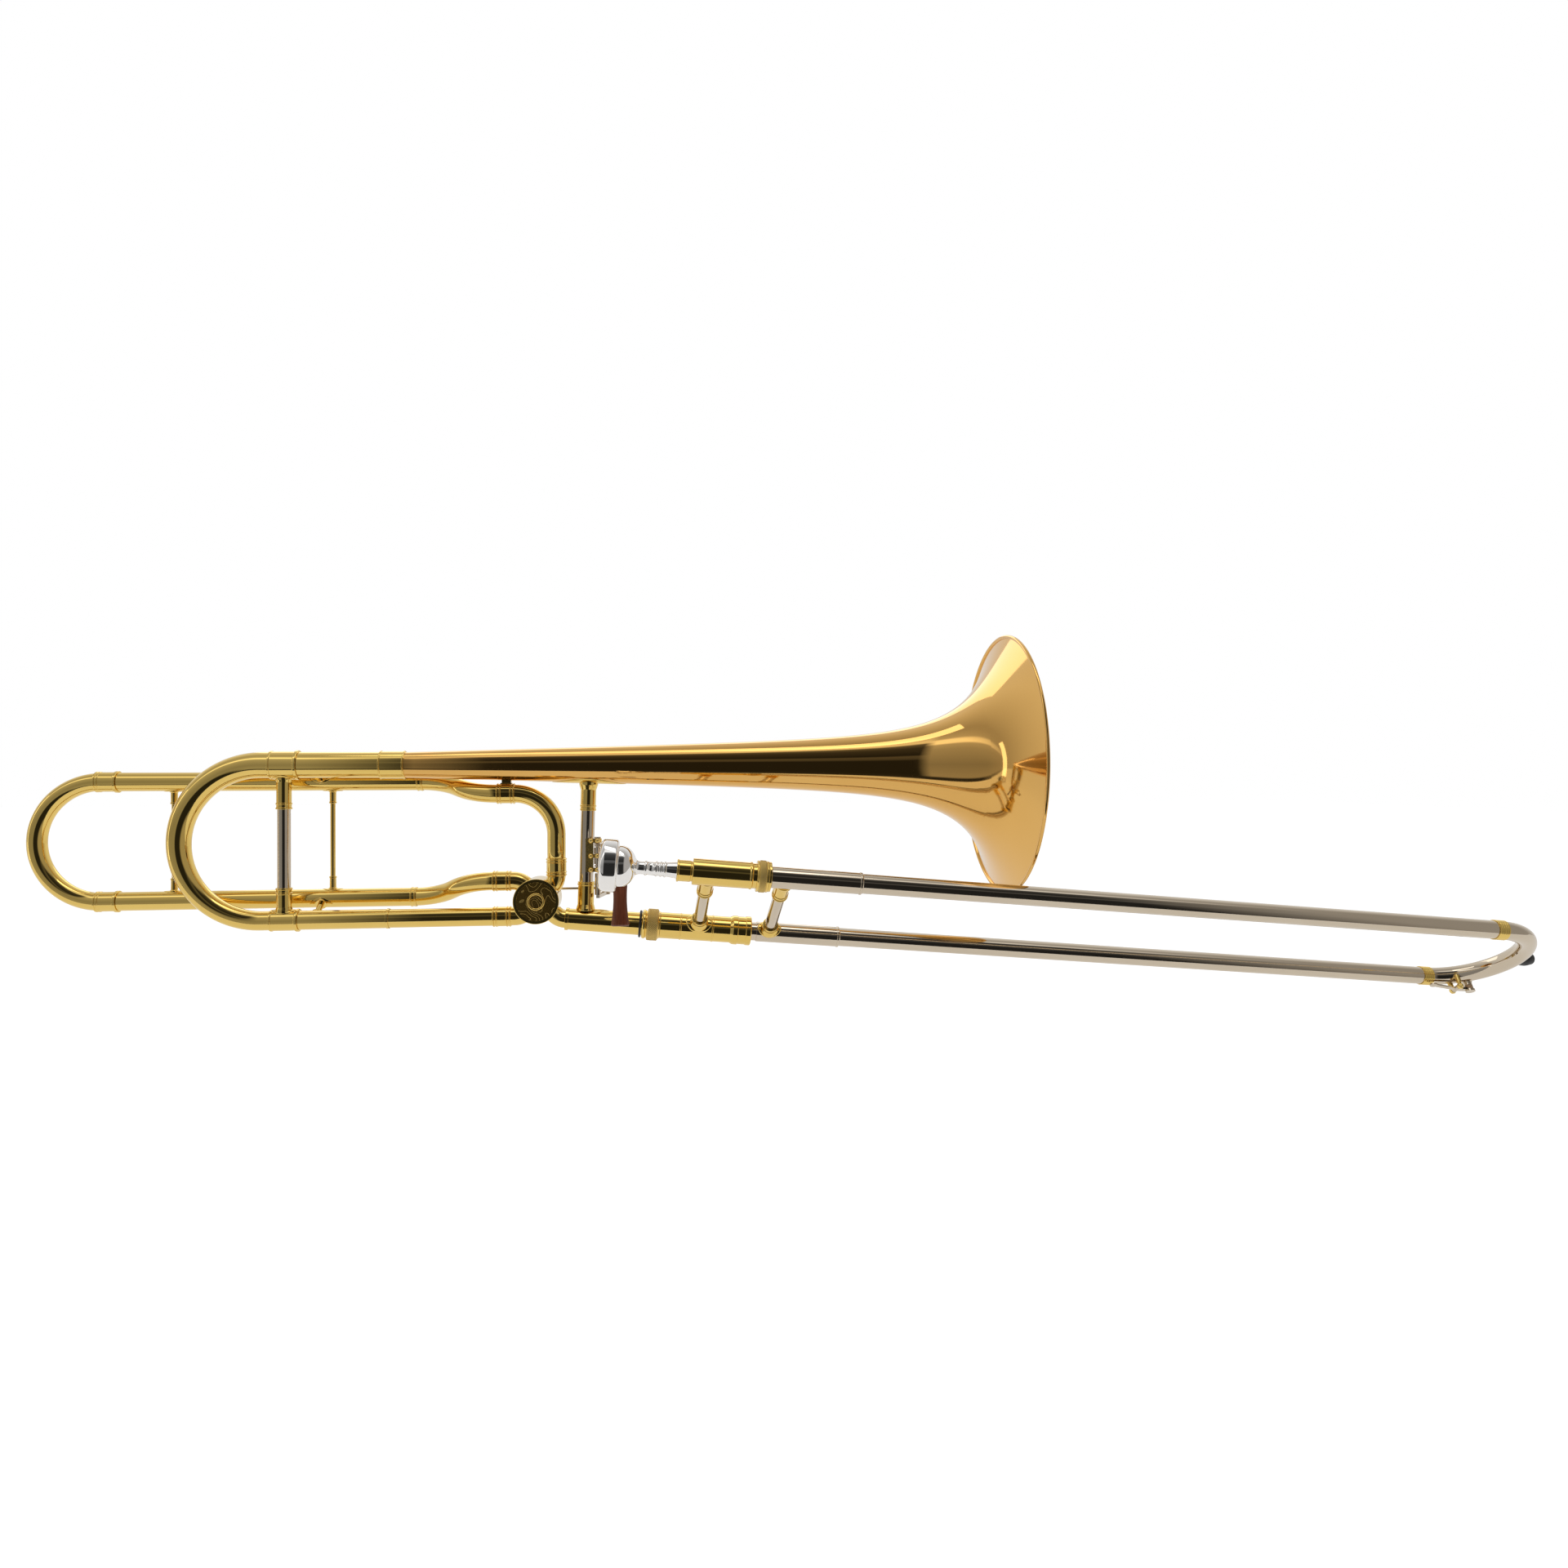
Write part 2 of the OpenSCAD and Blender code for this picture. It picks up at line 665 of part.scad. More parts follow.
module thumb_lever() {
    spread = atan2(lever_pin_x - hinge_x, link_y - hinge_y);
    reach = crank_len / cos(spread);
    color(nickel) {
        translate([hinge_x, hinge_y, 0]) {
            difference() {
                for (b = barrels) translate([0, 0, b[1]]) {
                    cylinder(h = b[0] - b[1], r = 3);
                    translate([1.8, -1.5, 0]) cube([2.4, 3, b[0] - b[1]]);
                }
                translate([0, 0, -95]) cylinder(h = 40, r = 1.5 + slip);
            }
            translate([3.8, -1.5, -92]) cube([2, 3, 25]);
            translate([1.5, -1.5, -92]) cube([2.8, 3, 3]);
            translate([0, 0, -105.8]) cylinder(h = 17.6, r = 2.4);
            translate([0, 0, -98]) rotate([0, 0, atan2(-13, 18.5)])
                translate([0, -2, 0]) cube([20.4, 4, 3]);
            translate([0, 0, -108.6]) rotate([0, 0, 90 - spread])
                translate([0, -1.4, 0]) cube([reach, 2.8, 3]);
        }
        translate([paddle_x - 5, paddle_y + 1.3, -99]) cube([10, 1.6, 5.5]);
        translate([lever_pin_x, link_y, -108.6]) {
            cylinder(h = 3, r = 3.2);
            cylinder(h = 8.5, r = 1.2);
        }
    }
}

module thumb_paddle() {
    half = (paddle_high - paddle_low) / 2;
    middle = (paddle_high + paddle_low) / 2;
    waist = 5.4;
    flare = 7.6;
    saddle_r = (half * half + pow(flare - waist, 2)) / (2 * (flare - waist));
    color(rosewood) translate([paddle_x, paddle_y, middle]) difference() {
        intersection() {
            translate([-flare - 1, -6, -half]) cube([2 * flare + 2, 8.2, 2 * half]);
            translate([0, 7.4, -half - 1]) cylinder(h = 2 * half + 2, r = 10.6);
        }
        for (side = [-1, 1]) translate([side * (saddle_r + waist), 8, 0]) rotate([90, 0, 0])
            cylinder(h = 20, r = saddle_r, $fn = 180);
        translate([-10, 1.2, 6.5]) cube([20, 6, 6.5]);
    }
}

module lever_spring() {
    color(nickel) translate([hinge_x, hinge_y, 0]) for (span = [[-67, -63.6], [-83.4, -81]])
        translate([0, 0, span[0]]) difference() {
            cylinder(h = span[1] - span[0], r = 2.9);
            translate([0, 0, -1]) cylinder(h = 6, r = 2.2);
        }
}

module link_rod() {
    color(nickel) translate([0, link_y, link_z]) difference() {
        union() {
            translate([link_start_x, 0, 0]) bar_y(-1.8, 1.8, 3);
            bar_x(link_start_x + 2, lever_pin_x - 3, 1.1);
            translate([lever_pin_x, 0, -1.6]) cylinder(h = 3.2, r = 3.8);
        }
        translate([link_start_x, 0, 0]) bar_y(-3, 3, 1.2 + slip);
        translate([lever_pin_x, 0, -3]) cylinder(h = 6, r = 2.1);
    }
}

// Gooseneck and slide receiver

module gooseneck() {
    color(tube_brass) slide_frame() difference() {
        union() {
            cone_x(gooseneck_start, -311.5, gooseneck_r, receiver_r);
            bar_x(-311.6, gooseneck_end, receiver_r);
        }
        cone_x(gooseneck_start - 1, -344, 7, 7.9);
        cone_x(-344.01, gooseneck_end + 0.1, 7.9, 8.8);
    }
}

// Tuning slide

// Rings of the tuning crook: a straight end, a half circle and another straight end, while
// the radius grows from the lower leg's size to the stem's size
crook_steps = 24;
crook_end_x = -588;
function crook_ring(i) =
    let (a = 180 * i / crook_steps - 90, t = i / crook_steps)
    let (r = lower_leg_r + t * (stem_r - lower_leg_r) - touch)
    [
        [crook_x - crook_r * cos(a), 0, crook_mid_z + crook_r * sin(a)],
        [cos(a), 0, -sin(a)], [0, 1, 0], r, r - tube_wall
    ];
function moved_ring(ring, x) = [[x, 0, ring[0][2]], ring[1], ring[2], ring[3], ring[4]];

module tuning_crook() {
    first = crook_ring(0);
    last = crook_ring(crook_steps);
    rings = concat(
        [moved_ring(first, crook_end_x)],
        [for (i = [0 : crook_steps]) crook_ring(i)],
        [moved_ring(last, crook_end_x)]
    );
    color(tube_brass) swept_pipe(rings, 32);
}

module tuning_inner_legs() {
    far = crook_end_x + touch;
    color(tube_brass) {
        pipe_x(far, crook_end_x + main_inner_len, stem_r - tube_wall - 2 * slip, stem_r - 2 * tube_wall);
        translate([0, 0, -leg_gap]) pipe_x(
            far, crook_end_x + main_inner_len, lower_leg_r - tube_wall - slip, lower_leg_r - 2 * tube_wall);
    }
}

module tuning_ferrules() {
    color(tube_brass) for (leg = [[0, stem_r], [-leg_gap, lower_leg_r]]) translate([0, 0, leg[0]])
        difference() {
            union() {
                bar_x(tuning_ferrule_start, main_x - touch, leg[1] + 0.6);
                bead_x(tuning_ferrule_start + 0.8, leg[1] + 0.5, 0.5);
                bead_x(main_x - 1.2, leg[1] + 0.6, 0.9);
            }
            bar_x(tuning_ferrule_start - 2, crook_end_x, leg[1] + touch);
            bar_x(crook_end_x - 1, main_x + 2, leg[1] - tube_wall + touch);
        }
}

module tuning_brace() {
    low = -leg_gap + tuning_socket_low - 6 + touch;
    high = -tuning_socket_high + 6 - touch;
    color(nickel) translate([tuning_brace_x, 0, low]) difference() {
        cylinder(h = high - low, r = tuning_brace_r);
        translate([0, 0, -1]) cylinder(h = leg_gap, r = tuning_brace_r - 0.9);
    }
}

// One end of the tuning slide's brace, standing on a ferrule. It is drawn pointing up.
module brace_socket(leg_r, reach, r, tube_r) {
    difference() {
        union() {
            cylinder(h = reach, r = r);
            translate([0, 0, reach - 4]) cylinder(h = 4, r = r + 0.7);
            translate([0, 0, reach - 8]) cylinder(h = 1, r = r + 0.5);
            cylinder(h = leg_r + 1.6, r = r + 2);
        }
        bar_x(-30, 30, leg_r + touch);
        translate([0, 0, -30]) cylinder(h = 33, r = 20);
        translate([0, 0, reach - 6]) cylinder(h = 10, r = tube_r + touch);
    }
}

module tuning_brace_sockets() {
    color(tube_brass) translate([tuning_brace_x, 0, 0]) {
        mirror([0, 0, 1]) brace_socket(stem_r + 0.6, tuning_socket_high, 5.6, tuning_brace_r);
        translate([0, 0, -leg_gap])
            brace_socket(lower_leg_r + 0.6, tuning_socket_low, 5.6, tuning_brace_r);
    }
}

// F slide

module f_crook() {
    end = -731;
    color(tube_brass) translate([0, f_offset, 0]) {
        translate([f_crook_x, 0, f_crook_z]) rotate([90, 0, 0]) rotate([0, 0, 90])
            rotate_extrude(angle = 180) translate([f_crook_r, 0]) difference() {
                circle(r = f_tube_r);
                circle(r = f_tube_r - tube_wall);
            }
        for (z = [f_upper_z, f_lower_z]) translate([0, 0, z])
            pipe_x(f_crook_x, end, f_tube_r, f_tube_r - tube_wall);
    }
}

module f_inner_legs() {
    color(tube_brass) translate([0, f_offset, 0]) for (z = [f_upper_z, f_lower_z]) translate([0, 0, z])
        pipe_x(-731 + touch, -731 + f_inner_len, f_leg_r - tube_wall - slip, f_leg_r - 2 * tube_wall);
}

module f_crook_ferrules() {
    color(tube_brass) translate([0, f_offset, 0]) for (z = [f_upper_z, f_lower_z]) translate([0, 0, z])
        difference() {
            union() {
                bar_x(-738.5, -f_leg_end - touch, 7.9);
                bead_x(-737.6, 7.8, 0.5);
                bead_x(-735.4, 7.8, 0.5);
                bead_x(-f_leg_end - 1.1, 7.9, 0.8);
            }
            bar_x(-740, f_crook_x, 7.5);
            bar_x(-736, -731, f_tube_r + touch);
            bar_x(-732, -720, f_leg_r - tube_wall + touch);
        }
}

// Inner slide

module slide_tenon() {
    color(silver) slide_frame() difference() {
        union() {
            cone_x(-342, -301.2, 7.9, 8.75);
            bar_x(-301.3, -300.6, 8.7);
            bar_x(-300.7, -298.4, 9.3);
            bar_x(-298.5, -294.82, 8.4);
        }
        bar_x(-343, -290, bore_r);
    }
}

module slide_o_ring() {
    color(rubber_black) slide_frame() pipe_x(-312, -309.9, 11, receiver_r + 0.03);
}

module bell_lock_nut() {
    color(tube_brass) slide_frame() difference() {
        union() {
            bar_x(-309.6, -294.9, 11.4);
            bar_x(-305.4, -296.4, 13.1);
            bead_x(-307, 11.4, 0.6);
        }
        bar_x(-312, -298.1, receiver_r + 0.08);
        bar_x(-299, -290, 8.46);
        for (i = [0 : 35]) rotate([i * 10, 0, 0]) translate([0, 0, 13.3]) bar_x(-304.4, -297.4, 0.5);
    }
}

module lower_cork_barrel() {
    color(tube_brass) slide_frame() difference() {
        union() {
            bar_x(-294.8, -235, 10.7);
            bar_x(-235.1, barrel_end, 12);
            bead_x(-278, 10.6, 0.5);
            bead_x(-251.6, 10.6, 0.5);
        }
        bar_x(-296, -262, inner_r + touch);
        bar_x(-262, barrel_end + 1, 9.3);
    }
}

module upper_cork_barrel() {
    color(tube_brass) upper_slide() difference() {
        union() {
            bar_x(-275, -230.4, 10);
            bar_x(receiver_mouth, -276.6, 8.1);
            bar_x(-277, -274, 7.7);
            bead_x(-286.2, 7.9, 0.5);
            bar_x(-231, -216, 9.4);
            bar_x(-217.5, -215.6, 11.4);
        }
        cone_x(receiver_mouth - 0.1, -262, 6.35, 5.8);
        bar_x(-262.1, -258, inner_r + touch);
        bar_x(-258, -215, 9);
    }
}

module slide_lock_ring() {
    color(tube_brass) upper_slide() difference() {
        union() {
            bar_x(-226.6, -217.6, 12);
            bar_x(-225, -219.2, 12.3);
        }
        bar_x(-228, -216, 9.45);
        for (i = [0 : 35]) rotate([i * 10, 0, 0]) translate([0, 0, 12.5]) bar_x(-224.4, -219.8, 0.5);
    }
}

module barrel_corks() {
    color(cork_brown) {
        slide_frame() pipe_x(-261.9, -250, 9.25, inner_r + 0.1);
        upper_slide() pipe_x(-257.9, -250, 8.95, inner_r + 0.1);
    }
}

module leadpipe() {
    color(tube_brass) upper_slide() difference() {
        bar_x(-261.9, -60, bore_r - touch);
        cone_x(-262, -240, 5.2, 5.9);
        cone_x(-240.1, -59, 5.9, 6.6);
    }
}

module inner_tubes() {
    color(chrome_steel) {
        slide_frame() pipe_x(-294.7, inner_end, inner_r, bore_r);
        upper_slide() pipe_x(-262, inner_end, inner_r, bore_r);
        for (z = [0, slide_gap]) slide_frame() translate([0, 0, z])
            pipe_x(inner_end - 110, inner_end, stocking_r, inner_r - 0.01);
    }
}

// One end of a slide brace, standing on a tube and pointing away from it
module slide_brace_socket(tube_r, reach, r, brace) {
    difference() {
        union() {
            cylinder(h = reach, r = r);
            translate([0, 0, reach - 2.4]) cylinder(h = 2.4, r = r + 0.6);
            cylinder(h = tube_r + 1.3, r = r + 2.6);
        }
        bar_x(-30, 30, tube_r + touch);
        translate([0, 0, -30]) cylinder(h = 33, r = 20);
        translate([0, 0, reach - 3]) cylinder(h = 10, r = brace + touch);
    }
}

module inner_brace() {
    color(nickel) slide_frame() translate([inner_brace_s, 0, 16]) difference() {
        cylinder(h = 45, r = brace_r);
        translate([0, 0, -1]) cylinder(h = 47, r = brace_r - 0.8);
    }
}

module inner_brace_sockets() {
    color(tube_brass) slide_frame() translate([inner_brace_s, 0, 0]) {
        slide_brace_socket(10.7, 19, 5.9, brace_r);
        translate([0, 0, slide_gap]) mirror([0, 0, 1]) slide_brace_socket(10, 39, 5.9, brace_r);
    }
}

// Mouthpiece

module mouthpiece() {
    s = mouthpiece_s;
    color(silver) upper_slide() difference() {
        turned_x([
            [s, 0], [s, rim_r - 5], [s + 0.4, rim_r - 3], [s + 1.6, rim_r - 1], [s + 3.4, rim_r - 0.1],
            [s + 5, rim_r], [s + 12, rim_r], [s + 13.2, rim_r - 0.8], [s + 13.6, rim_r - 2.6],
            [s + 14.2, 15.6], [s + 16.5, 15.5], [s + 20, 14.6], [s + 23, 13], [s + 25.4, 10.6],
            [s + 26.6, 8.4], [s + 28.2, 7.8], [s + 31, 7.2], [s + 33.6, 5.6], [s + 34.4, 5.6],
            [s + 35, 6.1], [s + 37.2, 6.1], [s + 37.8, 5.7], [s + 42, 5.8], [s + 42.6, 6.3],
            [s + 44.8, 6.3], [s + 45.4, 5.9], [s + 47, 5.9], [s + 47.6, 6.5], [s + 49.8, 6.5],
            [s + 50.4, 6.1], [s + 56.5, 6.3], [shank_end, 5.75], [shank_end, 0]
        ]);
        turned_x([
            [s - 1, 0], [s - 1, 13.6], [s + 0.6, 12.9], [s + 4, 12.4], [s + 10, 11.2], [s + 15, 9],
            [s + 19, 6.2], [s + 22, 4], [s + 24, 3.5], [s + 28, 3.5], [s + 48, 4.1],
            [shank_end + 1, 5.1], [shank_end + 1, 0]
        ]);
    }
}

// Outer slide

module outer_tubes() {
    color(nickel) for (z = [0, slide_gap]) slide_frame() translate([0, 0, z])
        pipe_x(outer_start, bow_start - 2.7, outer_r, stocking_r + slip);
}

module outer_sleeves() {
    color(nickel) for (z = [0, slide_gap]) slide_frame() translate([0, 0, z]) difference() {
        union() {
            bar_x(-215, -144.7, 8.25);
            bead_x(-145.6, 8.1, 0.5);
        }
        bar_x(-216, -140, outer_r + touch);
    }
}

module outer_brace() {
    color(nickel) slide_frame() translate([outer_brace_s, 0, 12.6]) difference() {
        cylinder(h = 52.8, r = brace_r);
        translate([0, 0, -1]) cylinder(h = 55, r = brace_r - 0.8);
    }
}

module outer_brace_sockets() {
    color(tube_brass) slide_frame() translate([outer_brace_s, 0, 0]) {
        slide_brace_socket(8.25, 15.5, 5.9, brace_r);
        translate([0, 0, slide_gap]) mirror([0, 0, 1]) slide_brace_socket(8.25, 34.5, 5.9, brace_r);
    }
}

module bow_ferrules() {
    color(tube_brass) for (z = [0, slide_gap]) slide_frame() translate([0, 0, z])
        ferrule_x(bow_start - 7.4, bow_start + 2, outer_r + 0.7, outer_r + 0.08);
}

module bow_shape(r) {
    translate([bow_start, 0, bow_r]) rotate([90, 0, 0]) rotate([0, 0, -90])
        rotate_extrude(angle = 180) translate([bow_r, 0]) circle(r = r);
}

// Where the water key sits: X runs along its lever and Y points into the bow
module key_frame() {
    translate([key_s, 0, key_t]) rotate([0, -key_turn, 0]) children();
}

module slide_bow() {
    color(nickel) slide_frame() {
        difference() {
            union() {
                bow_shape(outer_r);
                for (z = [0, slide_gap]) translate([0, 0, z]) bar_x(bow_start - 2.6, bow_start, outer_r);
                key_frame() translate([12.5, 0, 0]) bar_y(-10.4, -2, 3.4);
            }
            bow_shape(stocking_r - 0.1);
            for (z = [0, slide_gap]) translate([0, 0, z]) bar_x(bow_start - 3, bow_start, stocking_r - 0.1);
            key_frame() translate([12.5, 0, 0]) bar_y(-11, -2, 2.2);
        }
    }
}

module bow_bumper() {
    tip = bow_start + bow_r;
    color(rubber_black) slide_frame() translate([0, 0, bow_r]) difference() {
        union() {
            bar_x(tip, tip + 11.4, 6.6);
            cone_x(tip + 11.3, tip + 18.5, 6.4, 4.4);
        }
        translate([0, 0, -bow_r]) bow_shape(outer_r + touch);
    }
}

module water_key_saddle() {
    color(tube_brass) slide_frame() difference() {
        key_frame() for (side = [-1, 1]) translate([0, 0, side * 5.6]) {
            bar_y(-10, -3, 2.2);
            bar_y(key_height - 2.4, -9.9, 1.7);
            translate([0, key_height, -1.4]) cylinder(h = 2.8, r = 2.4);
        }
        bow_shape(outer_r + touch);
        key_frame() translate([0, key_height, -9]) cylinder(h = 18, r = 1 + slip);
    }
}

module water_key_lever() {
    color(nickel) slide_frame() key_frame() {
        translate([0, key_height, -8.2]) cylinder(h = 16.4, r = 1);
        translate([0, key_height, -3.7]) cylinder(h = 7.4, r = 2.2);
        translate([0, key_height - 1.6, -2.4]) cube([9.2, 2.2, 4.8]);
        translate([12.5, 0, 0]) bar_y(key_height - 2.6, key_height - 0.6, 4);
        translate([0, key_height, 0]) rotate([0, 0, -8]) {
            translate([-22, -1.2, -2]) cube([22, 1.4, 4]);
            translate([-21, 0, 0]) bar_y(-1.2, 0.2, 3.2);
        }
    }
}

module water_key_cork() {
    color(cork_brown) slide_frame() key_frame() translate([12.5, 0, 0])
        bar_y(key_height - 0.58, -10.45, 3.2);
}

bell();
bell_rim_wire();
bell_tail_ferrule();
main_outer_legs();
main_link_tube();
tube_ferrules();
valve_elbows();
valve_casing();
front_bearing();
valve_cap();
stop_plate();
stop_corks();
f_riser();
f_s_bends();
f_outer_legs();
f_braces();
leg_connectors();
bell_brace_saddle();
bell_brace_tube();
bell_brace_foot();
lever_bracket();
lever_pin();
gooseneck();
tuning_crook();
tuning_inner_legs();
tuning_ferrules();
tuning_brace();
tuning_brace_sockets();
f_crook();
f_inner_legs();
f_crook_ferrules();
rotor();
stop_arm();
link_rod();
thumb_lever();
thumb_paddle();
lever_spring();
slide_tenon();
slide_o_ring();
lower_cork_barrel();
upper_cork_barrel();
barrel_corks();
leadpipe();
inner_tubes();
inner_brace();
inner_brace_sockets();
bell_lock_nut();
slide_lock_ring();
mouthpiece();
outer_tubes();
outer_sleeves();
outer_brace();
outer_brace_sockets();
bow_ferrules();
slide_bow();
bow_bumper();
water_key_saddle();
water_key_lever();
water_key_cork();
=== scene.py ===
import math

import bmesh
import bpy
import numpy as np
from mathutils import Matrix, Vector


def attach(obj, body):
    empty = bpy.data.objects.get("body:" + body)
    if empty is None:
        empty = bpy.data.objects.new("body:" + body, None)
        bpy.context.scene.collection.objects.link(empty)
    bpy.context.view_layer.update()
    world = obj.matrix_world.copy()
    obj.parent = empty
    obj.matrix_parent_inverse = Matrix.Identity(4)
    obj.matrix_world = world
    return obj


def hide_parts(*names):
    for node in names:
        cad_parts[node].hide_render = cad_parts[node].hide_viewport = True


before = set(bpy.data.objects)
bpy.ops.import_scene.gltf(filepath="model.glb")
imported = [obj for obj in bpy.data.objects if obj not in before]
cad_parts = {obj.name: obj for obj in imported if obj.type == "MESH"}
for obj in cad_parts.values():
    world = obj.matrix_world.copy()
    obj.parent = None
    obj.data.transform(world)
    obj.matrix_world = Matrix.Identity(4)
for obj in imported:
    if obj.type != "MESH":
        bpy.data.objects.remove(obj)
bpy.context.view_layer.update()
print("frame loaded with", len(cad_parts), "nodes")

metre = 0.001  # lengths below are in millimetres

# The axes that the pieces are built on. Each is an origin and three directions: along the piece,
# and two across it, with across x up = along.


def axesOf(origin, along, across):
    along = np.asarray(along, float) / np.linalg.norm(along)
    across = np.asarray(across, float) - along * np.dot(across, along)
    across = across / np.linalg.norm(across)
    return np.asarray(origin, float), along, across, np.cross(along, across)


def shifted(axes, along=0.0, across=0.0, up=0.0):
    origin = axes[0] + along * axes[1] + across * axes[2] + up * axes[3]
    return (origin,) + axes[1:]


tilt = math.radians(4.95)   # the hand slide points down from the bell's axis
rise = math.radians(33.3)   # the slide's plane above the horizontal
legGap = 123.0
slideGap = 97.0
slideAlong = np.array([math.cos(tilt), 0, -math.sin(tilt)])
slideAcross = np.array([math.sin(tilt) * math.cos(rise), math.sin(rise), math.cos(tilt) * math.cos(rise)])

mainAxes = axesOf((0, 0, 0), (1, 0, 0), (0, 1, 0))
lowerAxes = shifted(mainAxes, up=-legGap)
fLoop = {"behind": 24.0, "high": -13.1, "low": -108.5}   # behind the bell's plane, and its two heights
fUpperAxes = shifted(mainAxes, across=fLoop["behind"], up=fLoop["high"])
fLowerAxes = shifted(mainAxes, across=fLoop["behind"], up=fLoop["low"])
slideLowerAxes = axesOf((0, 0, -157.9), slideAlong, slideAcross)
slideUpperAxes = shifted(slideLowerAxes, up=slideGap)
valveAxes = axesOf((-391.6, 0, -109), (0, 1, 0), (0, 0, 1))

# surfaces


def rounded(outline, fillet, steps=4):
    # A closed outline whose corners become parabolas between their two sides: each corner p turns
    # into (1-t)^2 a + 2t(1-t) p + t^2 b, with a and b on the sides, and a guard point beside each.
    p = np.asarray(outline, float)
    back, on = np.roll(p, 1, 0) - p, np.roll(p, -1, 0) - p
    backLength = np.linalg.norm(back, axis=1, keepdims=True)
    onLength = np.linalg.norm(on, axis=1, keepdims=True)
    cut = np.minimum(fillet, 0.3 * np.minimum(backLength, onLength))
    back, on = back / backLength, on / onLength
    t = np.linspace(0, 1, steps)[None, :, None]
    start, end = (p + back * cut)[:, None], (p + on * cut)[:, None]
    curve = (1 - t) ** 2 * start + 2 * t * (1 - t) * p[:, None] + t ** 2 * end
    guards = (p + back * cut * 1.6)[:, None], (p + on * cut * 1.6)[:, None]
    return np.concatenate([guards[0], curve, guards[1]], 1)


def gridShell(points, loop):
    # Faces over a grid of rings. A loop of rings closes on itself; otherwise the first and the
    # last ring have shrunk to a point each and become poles.
    rings, sides = points.shape[:2]
    row = np.arange(rings if loop else rings - 3)
    col = np.arange(sides)
    i, j = np.meshgrid(row, col, indexing="ij")
    nextI, nextJ = (i + 1) % rings, (j + 1) % sides
    quads = np.stack([i * sides + j, i * sides + nextJ, nextI * sides + nextJ, nextI * sides + j], -1)
    quads = quads.reshape(-1, 4)
    if loop:
        return points.reshape(-1, 3), quads, np.zeros((0, 3), int)
    body = points[1:-1].reshape(-1, 3)
    verts = np.concatenate([body, points[:1, 0], points[-1:, 0]])
    first, last = len(body), len(body) + 1
    nextCol = (col + 1) % sides
    base = (rings - 3) * sides
    tris = np.concatenate([
        np.stack([np.full(sides, first), nextCol, col], -1),
        np.stack([np.full(sides, last), base + col, base + nextCol], -1)])
    return verts, quads, tris


def ringGrid(centres, across, up, radii, sides):
    # Circles carried along a line: point(i, a) = centre(i) + radius(i) (cos a across + sin a up).
    a = np.linspace(0, 2 * math.pi, sides, endpoint=False)[None, :, None]
    radii = np.broadcast_to(radii, (len(centres),))[:, None, None]
    return centres[:, None] + radii * (np.cos(a) * across[:, None] + np.sin(a) * up[:, None])


def turned(axes, outline, fillet=0.3, sides=64, solid=False):
    # A turned piece: the outline of (along, radius) points spun round the axes' own line.
    if fillet:
        blocks = rounded(outline, fillet)
        if solid:
            flat = blocks[1:-1].reshape(-1, 2)
            flat = np.concatenate([[outline[0]], flat, [outline[-1]]])
        else:
            flat = blocks.reshape(-1, 2)
    else:
        flat = np.asarray(outline, float)
    x, r = flat[:, 0], flat[:, 1]
    if np.sum(x * np.roll(r, -1) - np.roll(x, -1) * r) > 0:
        flat = flat[::-1]
        x, r = flat[:, 0], flat[:, 1]
    centres = axes[0] + x[:, None] * axes[1]
    across = np.broadcast_to(axes[2], centres.shape)
    up = np.broadcast_to(axes[3], centres.shape)
    return gridShell(ringGrid(centres, across, up, r, sides), not solid)


def bumps(beads, radius):
    # Corner points of low round beads on a turned piece, each (place, height, width).
    corners = []
    for place, height, width in beads:
        corners += [(place - width / 2, radius), (place - width / 4, radius + height),
                    (place + width / 4, radius + height), (place + width / 2, radius)]
    return corners


def sleeve(axes, start, end, radius, bore, beads=(), fillet=0.15, sides=64):
    outline = [(start, radius)] + bumps(beads, radius) + [(end, radius), (end, bore), (start, bore)]
    return turned(axes, outline, fillet, sides)


def rod(axes, start, end, radius, fillet=0.25, sides=32):
    return turned(axes, [(start, 0), (start, radius), (end, radius), (end, 0)], fillet, sides, True)


def ball(axes, place, radius, sides=32):
    a = np.linspace(0, math.pi, 18)
    outline = np.stack([place - radius * np.cos(a), radius * np.sin(a)], 1)
    outline[[0, -1], 1] = 0
    return turned(axes, outline, 0, sides, True)


def hoop(axes, place, radius, thick, sides=96):
    a = np.linspace(0, 2 * math.pi, 20, endpoint=False)
    return turned(axes, np.stack([place + thick * np.cos(a), radius + thick * np.sin(a)], 1), 0, sides)


def route(start, direction, toward, legs, step=4.0):
    # A flat line of straights (length, 0) and arcs (radius, degrees). On an arc the place is
    # start + radius (sin a direction + (1 - cos a) toward), and a negative angle turns the other way.
    here = np.asarray(start, float)
    ahead = np.asarray(direction, float) / np.linalg.norm(direction)
    side = np.asarray(toward, float) / np.linalg.norm(toward)
    centres, headings = [here[None]], [ahead[None]]
    for size, degrees in legs:
        if degrees == 0:
            t = np.linspace(0, size, 3)[1:, None]
            centres.append(here + t * ahead)
            headings.append(np.repeat(ahead[None], len(t), 0))
        else:
            turn = math.radians(abs(degrees))
            bend = side if degrees > 0 else -side
            a = np.linspace(0, turn, max(6, int(math.degrees(turn) / step)) + 1)[1:, None]
            centres.append(here + size * (np.sin(a) * ahead + (1 - np.cos(a)) * bend))
            headings.append(np.cos(a) * ahead + np.sin(a) * bend)
            newBend = math.cos(turn) * bend - math.sin(turn) * ahead
            side = newBend if degrees > 0 else -newBend
        here, ahead = centres[-1][-1], headings[-1][-1]
    return np.concatenate(centres), np.concatenate(headings)


